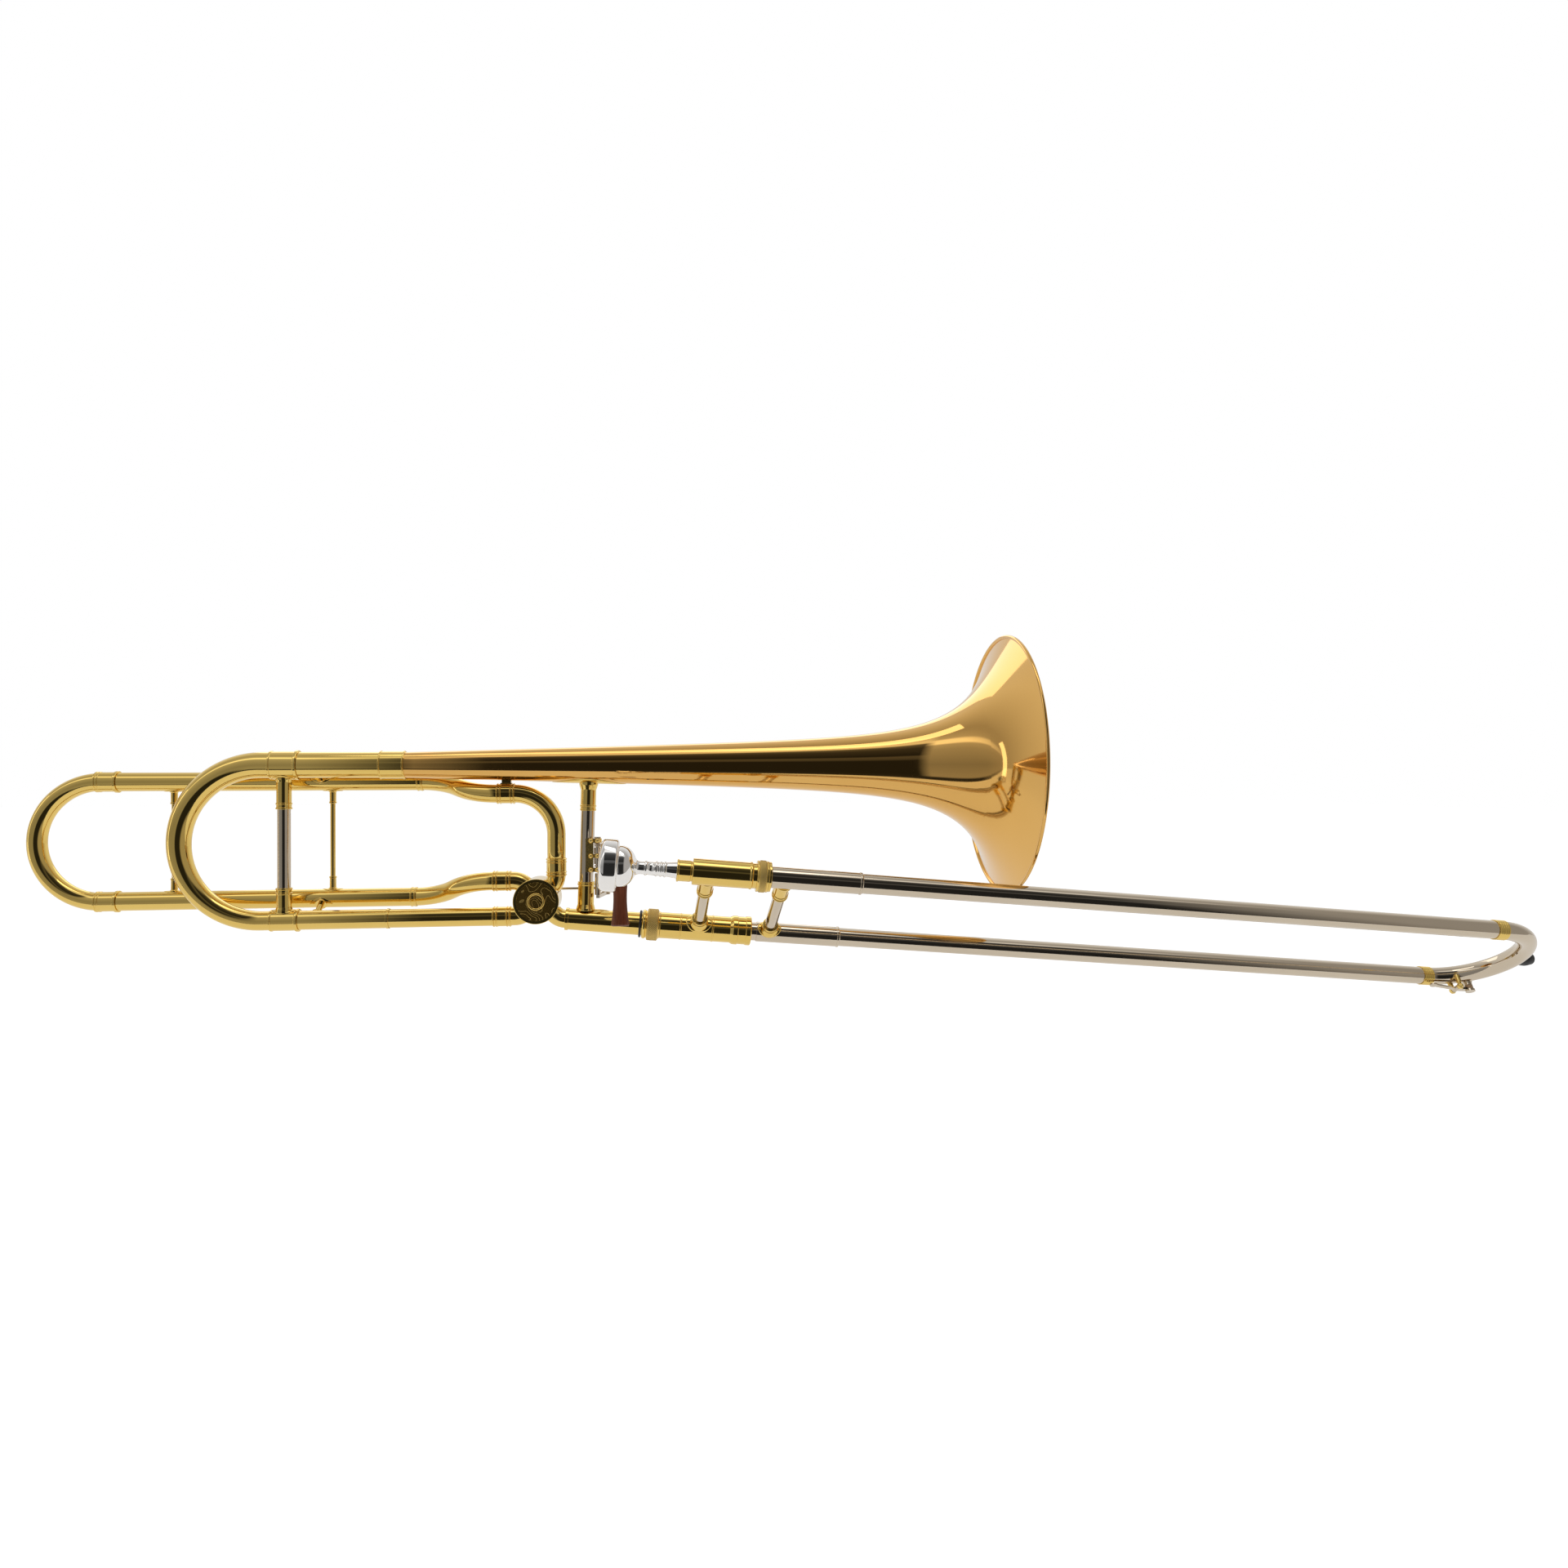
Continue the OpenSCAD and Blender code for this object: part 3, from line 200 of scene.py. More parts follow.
def bentPipe(centres, headings, normal, outer, bore, sides=64):
    # A pipe along a flat line: the outside forward, then the inside back, joined at both ends.
    normal = np.asarray(normal, float) / np.linalg.norm(normal)
    across = np.broadcast_to(normal, centres.shape)
    up = np.cross(headings, normal)
    outer = np.broadcast_to(outer, (len(centres),))
    bore = np.broadcast_to(bore, (len(centres),))
    out = ringGrid(centres, across, up, outer, sides)
    inside = ringGrid(centres, across, up, bore, sides)[::-1]
    return gridShell(np.concatenate([out, inside]), True)


def wrappedPlate(axes, place, toward, radiusAt, halfLength, halfWidth, thick, point=1.0, sides=72):
    # A thin plate with pointed ends that lies on a round tube. With q from 0 to 1 out from the
    # middle and an angle a: along = halfLength q cos a, round = halfWidth q sin a |sin a|^point,
    # height = thick (1 - q^6)^(1/2) above the tube.
    q = np.concatenate([np.linspace(0, 0.9, 8), np.linspace(0.93, 1, 6), np.linspace(0.97, 0, 6)])
    top = np.arange(len(q)) < 14
    a = np.linspace(0, 2 * math.pi, sides, endpoint=False)
    along = place + halfLength * q[:, None] * np.cos(a)
    arc = halfWidth * q[:, None] * np.sin(a) * np.abs(np.sin(a)) ** point
    height = np.where(top, thick * np.sqrt(np.clip(1 - q ** 6, 0, 1)), -0.25)[:, None]
    radius = radiusAt(along)
    angle = toward + arc / radius
    radius = radius + height
    points = (axes[0] + along[..., None] * axes[1]
              + (radius * np.cos(angle))[..., None] * axes[2]
              + (radius * np.sin(angle))[..., None] * axes[3])
    verts, quads, tris = gridShell(points, False)
    return verts, quads[:, ::-1], tris[:, ::-1]


def knurledBand(axes, start, end, radius, depth, bore, count, sides=360, rings=34):
    # A band with a diamond knurl: radius - depth max(|saw(n a + k x)|, |saw(n a - k x)|).
    x = np.linspace(start, end, rings)[:, None]
    a = np.linspace(0, 2 * math.pi, sides, endpoint=False)[None]
    turns = a / (2 * math.pi) * count
    pitch = 2 * math.pi * radius / count
    groove = np.maximum(np.abs((turns + x / pitch) % 1 - 0.5), np.abs((turns - x / pitch) % 1 - 0.5)) * 2
    edge = np.clip(np.minimum(x - start, end - x) / 0.8, 0, 1)
    r = radius - depth * (groove ** 2 * edge + (1 - edge) * 1.4)
    outer = (axes[0] + x[..., None] * axes[1] + (r * np.cos(a))[..., None] * axes[2]
             + (r * np.sin(a))[..., None] * axes[3])
    ends = np.array([[end], [start]])
    inner = (axes[0] + (ends + 0 * a)[..., None] * axes[1] + (bore * np.cos(a) + 0 * ends)[..., None] * axes[2]
             + (bore * np.sin(a) + 0 * ends)[..., None] * axes[3])
    return gridShell(np.concatenate([outer, inner]), True)


def coil(axes, start, end, radius, wire, turns, sides=12):
    # A coil spring: centre = start + (end - start) t along, turning round the axis turns times.
    t = np.linspace(0, 1, int(turns * 28))
    a = 2 * math.pi * turns * t
    centres = (axes[0] + (start + (end - start) * t)[:, None] * axes[1]
               + radius * (np.cos(a)[:, None] * axes[2] + np.sin(a)[:, None] * axes[3]))
    out = np.cos(a)[:, None] * axes[2] + np.sin(a)[:, None] * axes[3]
    heading = np.gradient(centres, axis=0)
    heading /= np.linalg.norm(heading, axis=1, keepdims=True)
    up = np.cross(heading, out)
    radii = np.full(len(t), wire)
    radii[[0, -1]] = 0
    return gridShell(ringGrid(centres, out, up, radii, sides), False)


# finishes


def newMaterial(name):
    made = bpy.data.materials.new(name)
    made.use_nodes = True
    tree = made.node_tree
    return made, tree, tree.nodes["Principled BSDF"], tree.nodes.new("ShaderNodeTexCoord")


def setInputs(tree, node, values):
    # Each input, by name or number, takes another node's output, a colour or a number.
    for key, value in values.items():
        if isinstance(value, bpy.types.NodeSocket):
            tree.links.new(value, node.inputs[key])
        else:
            node.inputs[key].default_value = (*value, 1) if isinstance(value, tuple) else value


def noiseFrom(tree, place, scale, detail=3.0, rough=0.5, stretch=None):
    noise = tree.nodes.new("ShaderNodeTexNoise")
    where = place.outputs["Object"]
    if stretch:
        mapping = tree.nodes.new("ShaderNodeMapping")
        mapping.inputs["Scale"].default_value = stretch
        tree.links.new(where, mapping.inputs["Vector"])
        where = mapping.outputs["Vector"]
    setInputs(tree, noise, {"Vector": where, "Scale": scale, "Detail": detail, "Roughness": rough})
    return noise.outputs["Fac"]


def remap(tree, source, low, high, fromLow=0.3, fromHigh=0.7):
    node = tree.nodes.new("ShaderNodeMapRange")
    setInputs(tree, node, {"Value": source, "From Min": fromLow, "From Max": fromHigh,
                            "To Min": low, "To Max": high})
    return node.outputs["Result"]


def mathNode(tree, operation, one, two):
    node = tree.nodes.new("ShaderNodeMath")
    node.operation = operation
    setInputs(tree, node, {0: one, 1: two})
    return node.outputs[0]


def blendColours(tree, factor, one, two):
    mix = tree.nodes.new("ShaderNodeMix")
    mix.data_type = "RGBA"
    setInputs(tree, mix, {0: factor, 6: one, 7: two})
    return mix.outputs[2]


def addBump(tree, shader, height, strength, distance, invert=False):
    bump = tree.nodes.new("ShaderNodeBump")
    bump.invert = invert
    setInputs(tree, bump, {"Height": height, "Strength": strength, "Distance": distance})
    tree.links.new(bump.outputs["Normal"], shader.inputs["Normal"])


def polishedMetal(name, colour, warm, gloss, haze, lacquer, ripple):
    # Plated or lacquered metal: the colour drifts slowly between two tones, wiping marks and
    # faint handling haze change the gloss, and a very shallow ripple bends the reflections.
    made, tree, shader, place = newMaterial(name)
    tone = remap(tree, noiseFrom(tree, place, 9, 3), 0, 1)
    soft = remap(tree, noiseFrom(tree, place, 42, 6, 0.6), gloss, gloss + haze, 0.42, 0.72)
    wiping = noiseFrom(tree, place, 260, 4, 0.6, (0.16, 1, 1))
    fine = remap(tree, wiping, 0, haze * 0.5, 0.45, 0.75)
    setInputs(tree, shader, {
        "Base Color": blendColours(tree, tone, colour, warm),
        "Roughness": mathNode(tree, "ADD", soft, fine),
        "Metallic": 1.0, "Coat Weight": lacquer, "Coat Roughness": 0.04})
    addBump(tree, shader, noiseFrom(tree, place, 30, 2), ripple, 0.0004)
    return made


finishes = {
    "bell_brass": dict(colour=(0.80, 0.47, 0.135), warm=(0.76, 0.43, 0.115),
                       gloss=0.045, haze=0.03, lacquer=0.15, ripple=0.03),
    "tube_brass": dict(colour=(0.86, 0.61, 0.175), warm=(0.82, 0.57, 0.15),
                       gloss=0.05, haze=0.035, lacquer=0.15, ripple=0.03),
    "nickel": dict(colour=(0.68, 0.585, 0.455), warm=(0.64, 0.545, 0.415),
                   gloss=0.06, haze=0.04, lacquer=0.1, ripple=0.02),
    "silver": dict(colour=(0.93, 0.915, 0.89), warm=(0.90, 0.88, 0.85),
                   gloss=0.04, haze=0.03, lacquer=0.0, ripple=0.0),
    "knurled": dict(colour=(0.66, 0.46, 0.15), warm=(0.58, 0.40, 0.12),
                    gloss=0.2, haze=0.06, lacquer=0.1, ripple=0.0),
    "satin_brass": dict(colour=(0.90, 0.66, 0.22), warm=(0.84, 0.60, 0.18),
                        gloss=0.24, haze=0.05, lacquer=0.3, ripple=0.0),
    "slide_chrome": dict(colour=(0.66, 0.65, 0.64), warm=(0.62, 0.61, 0.60),
                         gloss=0.06, haze=0.05, lacquer=0.0, ripple=0.0)}
paint = {name: polishedMetal(name, **spec) for name, spec in finishes.items()}


def rosewoodFinish():
    # Dark hardwood: fine streaks along Z, from noise squeezed lengthways, under an oiled sheen.
    made, tree, shader, place = newMaterial("rosewood")
    streaks = noiseFrom(tree, place, 900, 6, 0.65, (1, 1, 0.06))
    broad = noiseFrom(tree, place, 190, 3, 0.5, (1, 1, 0.12))
    fine = blendColours(tree, remap(tree, streaks, 0, 1, 0.35, 0.65),
                        (0.10, 0.024, 0.009), (0.31, 0.088, 0.034))
    share = remap(tree, broad, 0, 0.7, 0.35, 0.65)
    setInputs(tree, shader, {
        "Base Color": blendColours(tree, share, fine, (0.18, 0.048, 0.020)),
        "Roughness": remap(tree, streaks, 0.26, 0.42), "Coat Weight": 0.25, "Coat Roughness": 0.2})
    addBump(tree, shader, streaks, 0.25, 0.0003)
    return made


def dullFinish(name, one, two, scale, low, high, strength):
    # A matt stuff such as rubber or cork: mottled between two colours, with a fine rough skin.
    made, tree, shader, place = newMaterial(name)
    mottle = noiseFrom(tree, place, scale, 5, 0.6)
    setInputs(tree, shader, {
        "Base Color": blendColours(tree, remap(tree, mottle, 0, 1), one, two),
        "Roughness": remap(tree, mottle, low, high)})
    addBump(tree, shader, mottle, strength, 0.0002)
    return made


def engravedFinish():
    # The valve cap's face: brass with fine wavy lines, the contours of a smooth noise. A line lies
    # wherever the noise, folded back and forth in steps of 0.04, is near zero.
    made, tree, shader, place = newMaterial("engraved_brass")
    folded = mathNode(tree, "PINGPONG", noiseFrom(tree, place, 62, 1.0, 0.4), 0.04)
    line = remap(tree, folded, 1, 0, 0.0, 0.007)
    setInputs(tree, shader, {
        "Base Color": blendColours(tree, line, (0.50, 0.30, 0.065), (0.90, 0.63, 0.20)),
        "Roughness": remap(tree, line, 0.24, 0.38, 0, 1), "Metallic": 1.0})
    addBump(tree, shader, line, 0.3, 0.0002, True)
    return made


paint["rosewood"] = rosewoodFinish()
paint["rubber"] = dullFinish("rubber", (0.012, 0.012, 0.013), (0.022, 0.021, 0.021), 500, 0.38, 0.55, 0.15)
paint["cork"] = dullFinish("cork", (0.46, 0.29, 0.16), (0.62, 0.43, 0.26), 900, 0.75, 0.92, 0.6)
paint["engraved"] = engravedFinish()
print("finishes made:", ", ".join(paint))

# pieces


def paintNodes(finish, *names):
    # CAD nodes that stay visible get one of the finishes.
    for name in names:
        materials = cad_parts[name].data.materials
        materials.clear()
        materials.append(paint[finish])


def addPiece(name, body, finish, shells, nodes=()):
    # One mesh made of closed shells, on its body, in place of the CAD nodes it stands for.
    verts, loops, sizes, offset = [], [], [], 0
    for shellVerts, quads, tris in shells:
        verts.append(shellVerts)
        loops += [(quads + offset).ravel(), (tris + offset).ravel()]
        sizes += [np.full(len(quads), 4), np.full(len(tris), 3)]
        offset += len(shellVerts)
    verts = np.concatenate(verts) * metre
    loops, sizes = np.concatenate(loops).astype(np.int32), np.concatenate(sizes).astype(np.int32)
    mesh = bpy.data.meshes.new(name)
    mesh.vertices.add(len(verts))
    mesh.vertices.foreach_set("co", verts.astype(np.float32).ravel())
    mesh.loops.add(len(loops))
    mesh.loops.foreach_set("vertex_index", loops)
    mesh.polygons.add(len(sizes))
    mesh.polygons.foreach_set("loop_start", np.concatenate([[0], np.cumsum(sizes)[:-1]]).astype(np.int32))
    mesh.polygons.foreach_set("use_smooth", np.ones(len(sizes), bool))
    mesh.update(calc_edges=True)
    mesh.validate()
    mesh.materials.append(paint[finish])
    piece = bpy.data.objects.new(name, mesh)
    bpy.context.scene.collection.objects.link(piece)
    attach(piece, body)
    if nodes:
        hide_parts(*nodes)
    return piece


def polishedCopy(node, name, body, finish, extra=(), edge=0.22, sharp=32):
    # The node's own shape with its doubles merged, its flat faces joined and its edges eased.
    mesh = bpy.data.meshes.new(name)
    work = bmesh.new()
    work.from_mesh(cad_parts[node].data)
    bmesh.ops.remove_doubles(work, verts=work.verts, dist=2e-6)
    bmesh.ops.dissolve_limit(work, angle_limit=math.radians(0.6), verts=work.verts, edges=work.edges)
    work.to_mesh(mesh)
    work.free()
    mesh.polygons.foreach_set("use_smooth", np.ones(len(mesh.polygons), bool))
    mesh.materials.clear()
    mesh.materials.append(paint[finish])
    piece = bpy.data.objects.new(name, mesh)
    bpy.context.scene.collection.objects.link(piece)
    bevel = piece.modifiers.new("ease", "BEVEL")
    bevel.width = edge * metre
    bevel.segments = 2
    bevel.limit_method = "ANGLE"
    bevel.angle_limit = math.radians(sharp)
    bevel.harden_normals = False
    smooth = piece.modifiers.new("normals", "WEIGHTED_NORMAL")
    smooth.keep_sharp = True
    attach(piece, body)
    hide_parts(node)
    if extra:
        addPiece(name + "_trim", body, finish, extra)
    return piece


# the bell
bell = {"mouth": 110.0, "stem": 10.35, "length": 505.0, "taperLength": 495.0, "taper": 0.0283,
        "flareStart": 128.0, "flarePower": 4.285, "wall": 0.6, "bead": 1.6}


def bellRadius(d):
    # Radius at a depth d behind the mouth: stem + taper (length - d) + rise ((k/(d+k))^p - end).
    k, p = bell["flareStart"], bell["flarePower"]
    end = (k / (bell["taperLength"] + k)) ** p
    rise = (bell["mouth"] - bell["stem"] - bell["taper"] * bell["taperLength"]) / (1 - end)
    depth = np.clip(d, 0, bell["taperLength"])
    return bell["stem"] + bell["taper"] * (bell["taperLength"] - depth) + rise * ((k / (depth + k)) ** p - end)


def bellShell():
    d = np.concatenate([bell["taperLength"] * np.linspace(0, 1, 130) ** 2, [500, bell["length"]]])
    slope = (bellRadius(d + 0.01) - bellRadius(d)) / 0.01
    square = np.sqrt(1 + slope ** 2)
    outer = np.stack([-d, bellRadius(d)], 1)
    inner = np.stack([-d + bell["wall"] * slope / square, bellRadius(d) - bell["wall"] / square], 1)
    return turned(mainAxes, np.concatenate([outer, inner[::-1]]), 0, 192)


addPiece("bell_body", "bell_section", "bell_brass",
         [bellShell(), hoop(mainAxes, -1, bell["mouth"] - 1, bell["bead"], 192)], ["bell"])

# ferrules that join the tubes
ring = {"height": 0.55, "width": 1.2, "inset": 0.9, "pair": 2.3}


def ringPair(start, end, pairs=True):
    places = [start + ring["inset"], end - ring["inset"]]
    if pairs:
        places += [places[0] + ring["pair"], places[1] - ring["pair"]]
    return [(p, ring["height"], ring["width"]) for p in sorted(places)]


def ferrule(axes, start, end, radius, bore, pairs=True):
    return sleeve(axes, start, end, radius, bore, ringPair(start, end, pairs), 0.08)


addPiece("bell_tail_sleeve", "bell_section", "tube_brass",
         [ferrule(mainAxes, -515.4, -495.6, 11.0, 10.37, False)], ["bell_tail_ferrule"])

legs = {"end": -577.0, "upper": (10.35, 9.8), "lower": (7.6, 7.1), "link": (7.4, 6.9),
        "linkStart": -509.4, "linkEnd": -420.5}
addPiece("main_legs", "bell_section", "tube_brass", [
    sleeve(mainAxes, legs["end"], -505.02, *legs["upper"]),
    sleeve(lowerAxes, legs["end"], legs["linkStart"], *legs["lower"])], ["main_outer_legs"])
addPiece("main_link", "bell_section", "tube_brass",
         [sleeve(lowerAxes, legs["linkStart"], legs["linkEnd"], *legs["link"])], ["main_link_tube"])

joint = {"half": 7.3, "radius": 7.9, "bore": 7.42}
# The tube that rises from the valve, and where the two F tubes leave the bell's plane, as (x, z).
riser = {"x": -377.4, "foot": -83.3, "bend": 33.2, "pipe": 7.4, "bore": 6.9,
         "upperEnd": (-417.4, -23.3), "lowerEnd": (-420.5, -94.2)}
riserAxes = axesOf((riser["x"], 0, 0), (0, 0, 1), (1, 0, 0))
addPiece("tube_joints", "bell_section", "tube_brass", [
    sleeve(lowerAxes, -510.4, -508.3, 8.05, 7.62, fillet=0.4),
    *(ferrule(axes, middle - joint["half"], middle + joint["half"], joint["radius"], joint["bore"])
      for axes, middle in (
          (lowerAxes, legs["linkEnd"]),
          (shifted(mainAxes, up=riser["lowerEnd"][1]), riser["lowerEnd"][0]),
          (shifted(mainAxes, up=riser["upperEnd"][1]), riser["upperEnd"][0]),
          (riserAxes, riser["foot"]))),
    sleeve(fUpperAxes, -492.0, -487.0, 7.85, 7.52, ((-491, 0.35, 1), (-488, 0.35, 1))),
    sleeve(fLowerAxes, -497.0, -492.0, 7.85, 7.52, ((-496, 0.35, 1), (-493, 0.35, 1))),
    sleeve(slideLowerAxes, -371.6, -369.0, 9.2, 8.67, fillet=0.5)], ["tube_ferrules"])
print("bell and main legs placed")

# valve
valve = {"reach": 12.2, "elbow": 14.0, "pipe": 7.4, "bore": 6.9, "casing": 17.4}


def elbowPipe(along, side, height, farPlace, slope=0.0):
    # Comes in at a height below the valve's axis, then turns into the casing: the turn is
    # acos(cos slope - (height - reach) / radius).
    lean = math.radians(slope)
    turn = math.degrees(math.acos(math.cos(lean) - (height - valve["reach"]) / valve["elbow"]))
    back = valve["reach"] + valve["elbow"] * (math.sin(math.radians(turn)) - math.sin(lean))
    along, side = np.asarray(along, float), np.asarray(side, float)
    start = valveAxes[0] - back * along - height * side
    heading = math.cos(lean) * along + math.sin(lean) * side
    bend = math.cos(lean) * side - math.sin(lean) * along
    stub = (farPlace - back) / math.cos(lean)
    legsOfPath = [(stub, 0), (valve["elbow"], turn - slope + 8)]
    centres, headings = route(start - stub * heading, heading, bend, legsOfPath)
    return bentPipe(centres, headings, np.cross(heading, bend), valve["pipe"], valve["bore"])


slideStart = slideLowerAxes[0] - 370.4 * slideAlong
addPiece("valve_bends", "bell_section", "tube_brass", [
    elbowPipe((1, 0, 0), (0, 0, 1), legGap - 109, 28.9),
    elbowPipe((1, 0, 0), (0, 0, -1), 14.8, 28.9),
    elbowPipe((0, 0, -1), (-1, 0, 0), 14.2, 25.7),
    elbowPipe((-1, 0, 0), (0, 0, 1), -109 - slideStart[2], slideStart[0] + 391.6, 4.95)], ["valve_elbows"])
addPiece("valve_body", "bell_section", "tube_brass", [
    turned(valveAxes, [(-20, 16.4), (-15, 16.4), (-15, valve["casing"]), (14, valve["casing"]), (14, 15.65),
                       (-20, 15.65)], 0.4, 96)], ["valve_casing"])
cap = {"front": -22.0, "back": -15.1, "radius": 18.0, "ring": 6.1, "ringThick": 0.9}
addPiece("valve_cap_rim", "bell_section", "tube_brass", [
    turned(valveAxes, [(-21.9, 15.4), (cap["front"], 15.4), (cap["front"], cap["radius"]),
                       (cap["back"], cap["radius"]), (cap["back"], 16.45), (-20.6, 16.45), (-20.6, 15.4)],
           0.5, 128)], ["valve_cap"])
addPiece("valve_cap_ring", "bell_section", "tube_brass",
         [hoop(valveAxes, cap["front"], cap["ring"], cap["ringThick"])])
addPiece("valve_cap_face", "bell_section", "engraved", [
    turned(valveAxes, [(-21.96, 0), (-21.96, 15.6), (-21.2, 15.6), (-21.2, 0)], 0.1, 128, True)])


def aroundValve(radius, degrees):
    angle = math.radians(degrees)
    return shifted(valveAxes, across=radius * math.cos(angle), up=radius * math.sin(angle))


polishedCopy("stop_plate", "valve_back_plate", "bell_section", "tube_brass",
             [rod(aroundValve(10.5, degrees), 15.9, 16.5, 1.9) for degrees in (30, -30)])

# F tubing
riserPath = route((riser["x"], 0, riser["foot"]), (0, 0, 1), (-1, 0, 0), [
    (riser["upperEnd"][1] - riser["foot"] - riser["bend"], 0), (riser["bend"], 90),
    (riser["x"] - riser["upperEnd"][0] - riser["bend"], 0)])
addPiece("riser", "bell_section", "tube_brass",
         [bentPipe(*riserPath, (0, -1, 0), riser["pipe"], riser["bore"])], ["f_riser"])


def offsetPipe(start, endX, endZ):
    # Two equal arcs that move a pipe sideways: turn = 2 atan(side / run), radius = run / (2 sin turn).
    dy, dz = fLoop["behind"], endZ - start[1]
    side, run = math.hypot(dy, dz), start[0] - joint["half"] - endX
    turn = 2 * math.atan(side / run)
    radius = run / (2 * math.sin(turn))
    toward = np.array([0, dy, dz]) / side
    degrees = math.degrees(turn)
    centres, headings = route((start[0], 0, start[1]), (-1, 0, 0), toward,
                              [(joint["half"], 0), (radius, degrees), (radius, -degrees)])
    return bentPipe(centres, headings, np.cross((-1, 0, 0), toward), riser["pipe"], riser["bore"])


fLegs = {"upperStart": -489.5, "lowerStart": -494.5, "end": -721.5, "radius": 7.5, "bore": 7.0}
addPiece("f_offset_bends", "bell_section", "tube_brass",
         [offsetPipe(riser["upperEnd"], fLegs["upperStart"], fLoop["high"]),
          offsetPipe(riser["lowerEnd"], fLegs["lowerStart"], fLoop["low"])], ["f_s_bends"])
addPiece("f_legs", "bell_section", "tube_brass", [
    sleeve(fUpperAxes, fLegs["end"], fLegs["upperStart"], fLegs["radius"], fLegs["bore"]),
    sleeve(fLowerAxes, fLegs["end"], fLegs["lowerStart"], fLegs["radius"], fLegs["bore"])], ["f_outer_legs"])


def postBetween(start, end, profile, rodRadius, sides=32):
    # A rod between two points with the same turned end on each. The profile gives (distance from
    # the tube's middle, radius) for an end.
    start, end = np.asarray(start, float), np.asarray(end, float)
    span = np.linalg.norm(end - start)
    axes = axesOf(start, end - start, (1, 0, 0))
    ends = [(profile[0][0], 0)] + list(profile)
    outline = ends + [(profile[-1][0], rodRadius)]
    mirrored = [(span - d, r) for d, r in outline[::-1]]
    return turned(axes, outline + mirrored, 0.3, sides, True)


def tubeRadius(value):
    return lambda along: np.full_like(along, value)


shellsOfBraces = []
for x in (-558.7, -680.4):
    low, high = (x, fLoop["behind"], fLoop["low"]), (x, fLoop["behind"], fLoop["high"])
    shellsOfBraces.append(postBetween(low, high, [
        (5.5, 3.4), (8.2, 3.4), (8.7, 2.6), (16.4, 2.5), (16.6, 2.9), (17.8, 2.9), (18.0, 2.5)], 2.0))
    for axes, toward in ((fLowerAxes, math.pi / 2), (fUpperAxes, -math.pi / 2)):
        shellsOfBraces.append(wrappedPlate(axes, x, toward, tubeRadius(fLegs["radius"]), 8, 4.6, 0.55))
addPiece("f_loop_braces", "bell_section", "tube_brass", shellsOfBraces, ["f_braces"])
polishedCopy("leg_connectors", "leg_posts", "bell_section", "tube_brass", [
    wrappedPlate(axes, -566, math.atan2(up, across), tubeRadius(radius), 9, 5.5, 0.5)
    for axes, up, across, radius in (
        (fUpperAxes, 13.1, -24, 7.5), (fLowerAxes, -14.5, -24, 7.5),
        (mainAxes, -13.1, 24, legs["upper"][0]), (lowerAxes, 14.5, 24, legs["lower"][0]))])
print("valve and F tubing placed")

# bell brace
brace = {"x": -351.0, "lean": 1.5, "radius": 5.7, "bore": 4.9, "socketBore": 5.75}
leanAngle = math.radians(brace["lean"])
braceAxes = axesOf((brace["x"], 0, 0), (math.sin(leanAngle), 0, math.cos(leanAngle)), (1, 0, 0))
addPiece("bell_brace_top", "bell_section", "tube_brass", [
    turned(braceAxes, [(-37.5, brace["socketBore"]), (-37.5, 6.7), (-36.3, 6.7), (-35.9, 6.3), (-34.4, 6.3),
                       (-34.1, 6.75), (-33.1, 6.75), (-32.7, 6.2), (-20.5, 6.2), (-16.2, 7.6), (-14, 7.6),
                       (-14, brace["socketBore"])], 0.35),
    wrappedPlate(mainAxes, brace["x"], -math.pi / 2, lambda s: bellRadius(-s), 30, 10, 0.75)],
    ["bell_brace_saddle"])
addPiece("bell_brace_post", "bell_section", "nickel",
         [sleeve(braceAxes, -107, -27, brace["radius"], brace["bore"], fillet=0.2)], ["bell_brace_tube"])
gooseneck = {"start": -370.4, "end": -301.0, "startRadius": 8.6, "endRadius": 9.4, "cone": -311.5}


def gooseneckRadius(s):
    t = np.clip((s - gooseneck["start"]) / (gooseneck["cone"] - gooseneck["start"]), 0, 1)
    return gooseneck["startRadius"] + t * (gooseneck["endRadius"] - gooseneck["startRadius"])


addPiece("bell_brace_base", "bell_section", "tube_brass", [
    turned(braceAxes, [(-119, brace["socketBore"]), (-119, 7.6), (-117.4, 7.6), (-114, 6.6), (-98.6, 6.5),
                       (-98.2, 7.1), (-97.1, 7.1), (-96.8, 6.6), (-96.4, 6.6), (-96.2, 6.9), (-95.5, 6.9),
                       (-95.5, brace["socketBore"])], 0.35),
    wrappedPlate(slideLowerAxes, -350.5, 0.0, gooseneckRadius, 15.5, 8, 0.75)], ["bell_brace_foot"])
neckStart, neckEnd, neckRadius = gooseneck["start"], gooseneck["end"], gooseneck["endRadius"]
addPiece("gooseneck_tube", "bell_section", "tube_brass", [
    turned(slideLowerAxes, [
        (neckStart, 7.2), (neckStart, gooseneck["startRadius"]), (gooseneck["cone"], neckRadius),
        (neckEnd - 1.2, neckRadius), (neckEnd, 9.0), (neckEnd, 8.8), (-344, 7.9)], 0.3, 96)], ["gooseneck"])

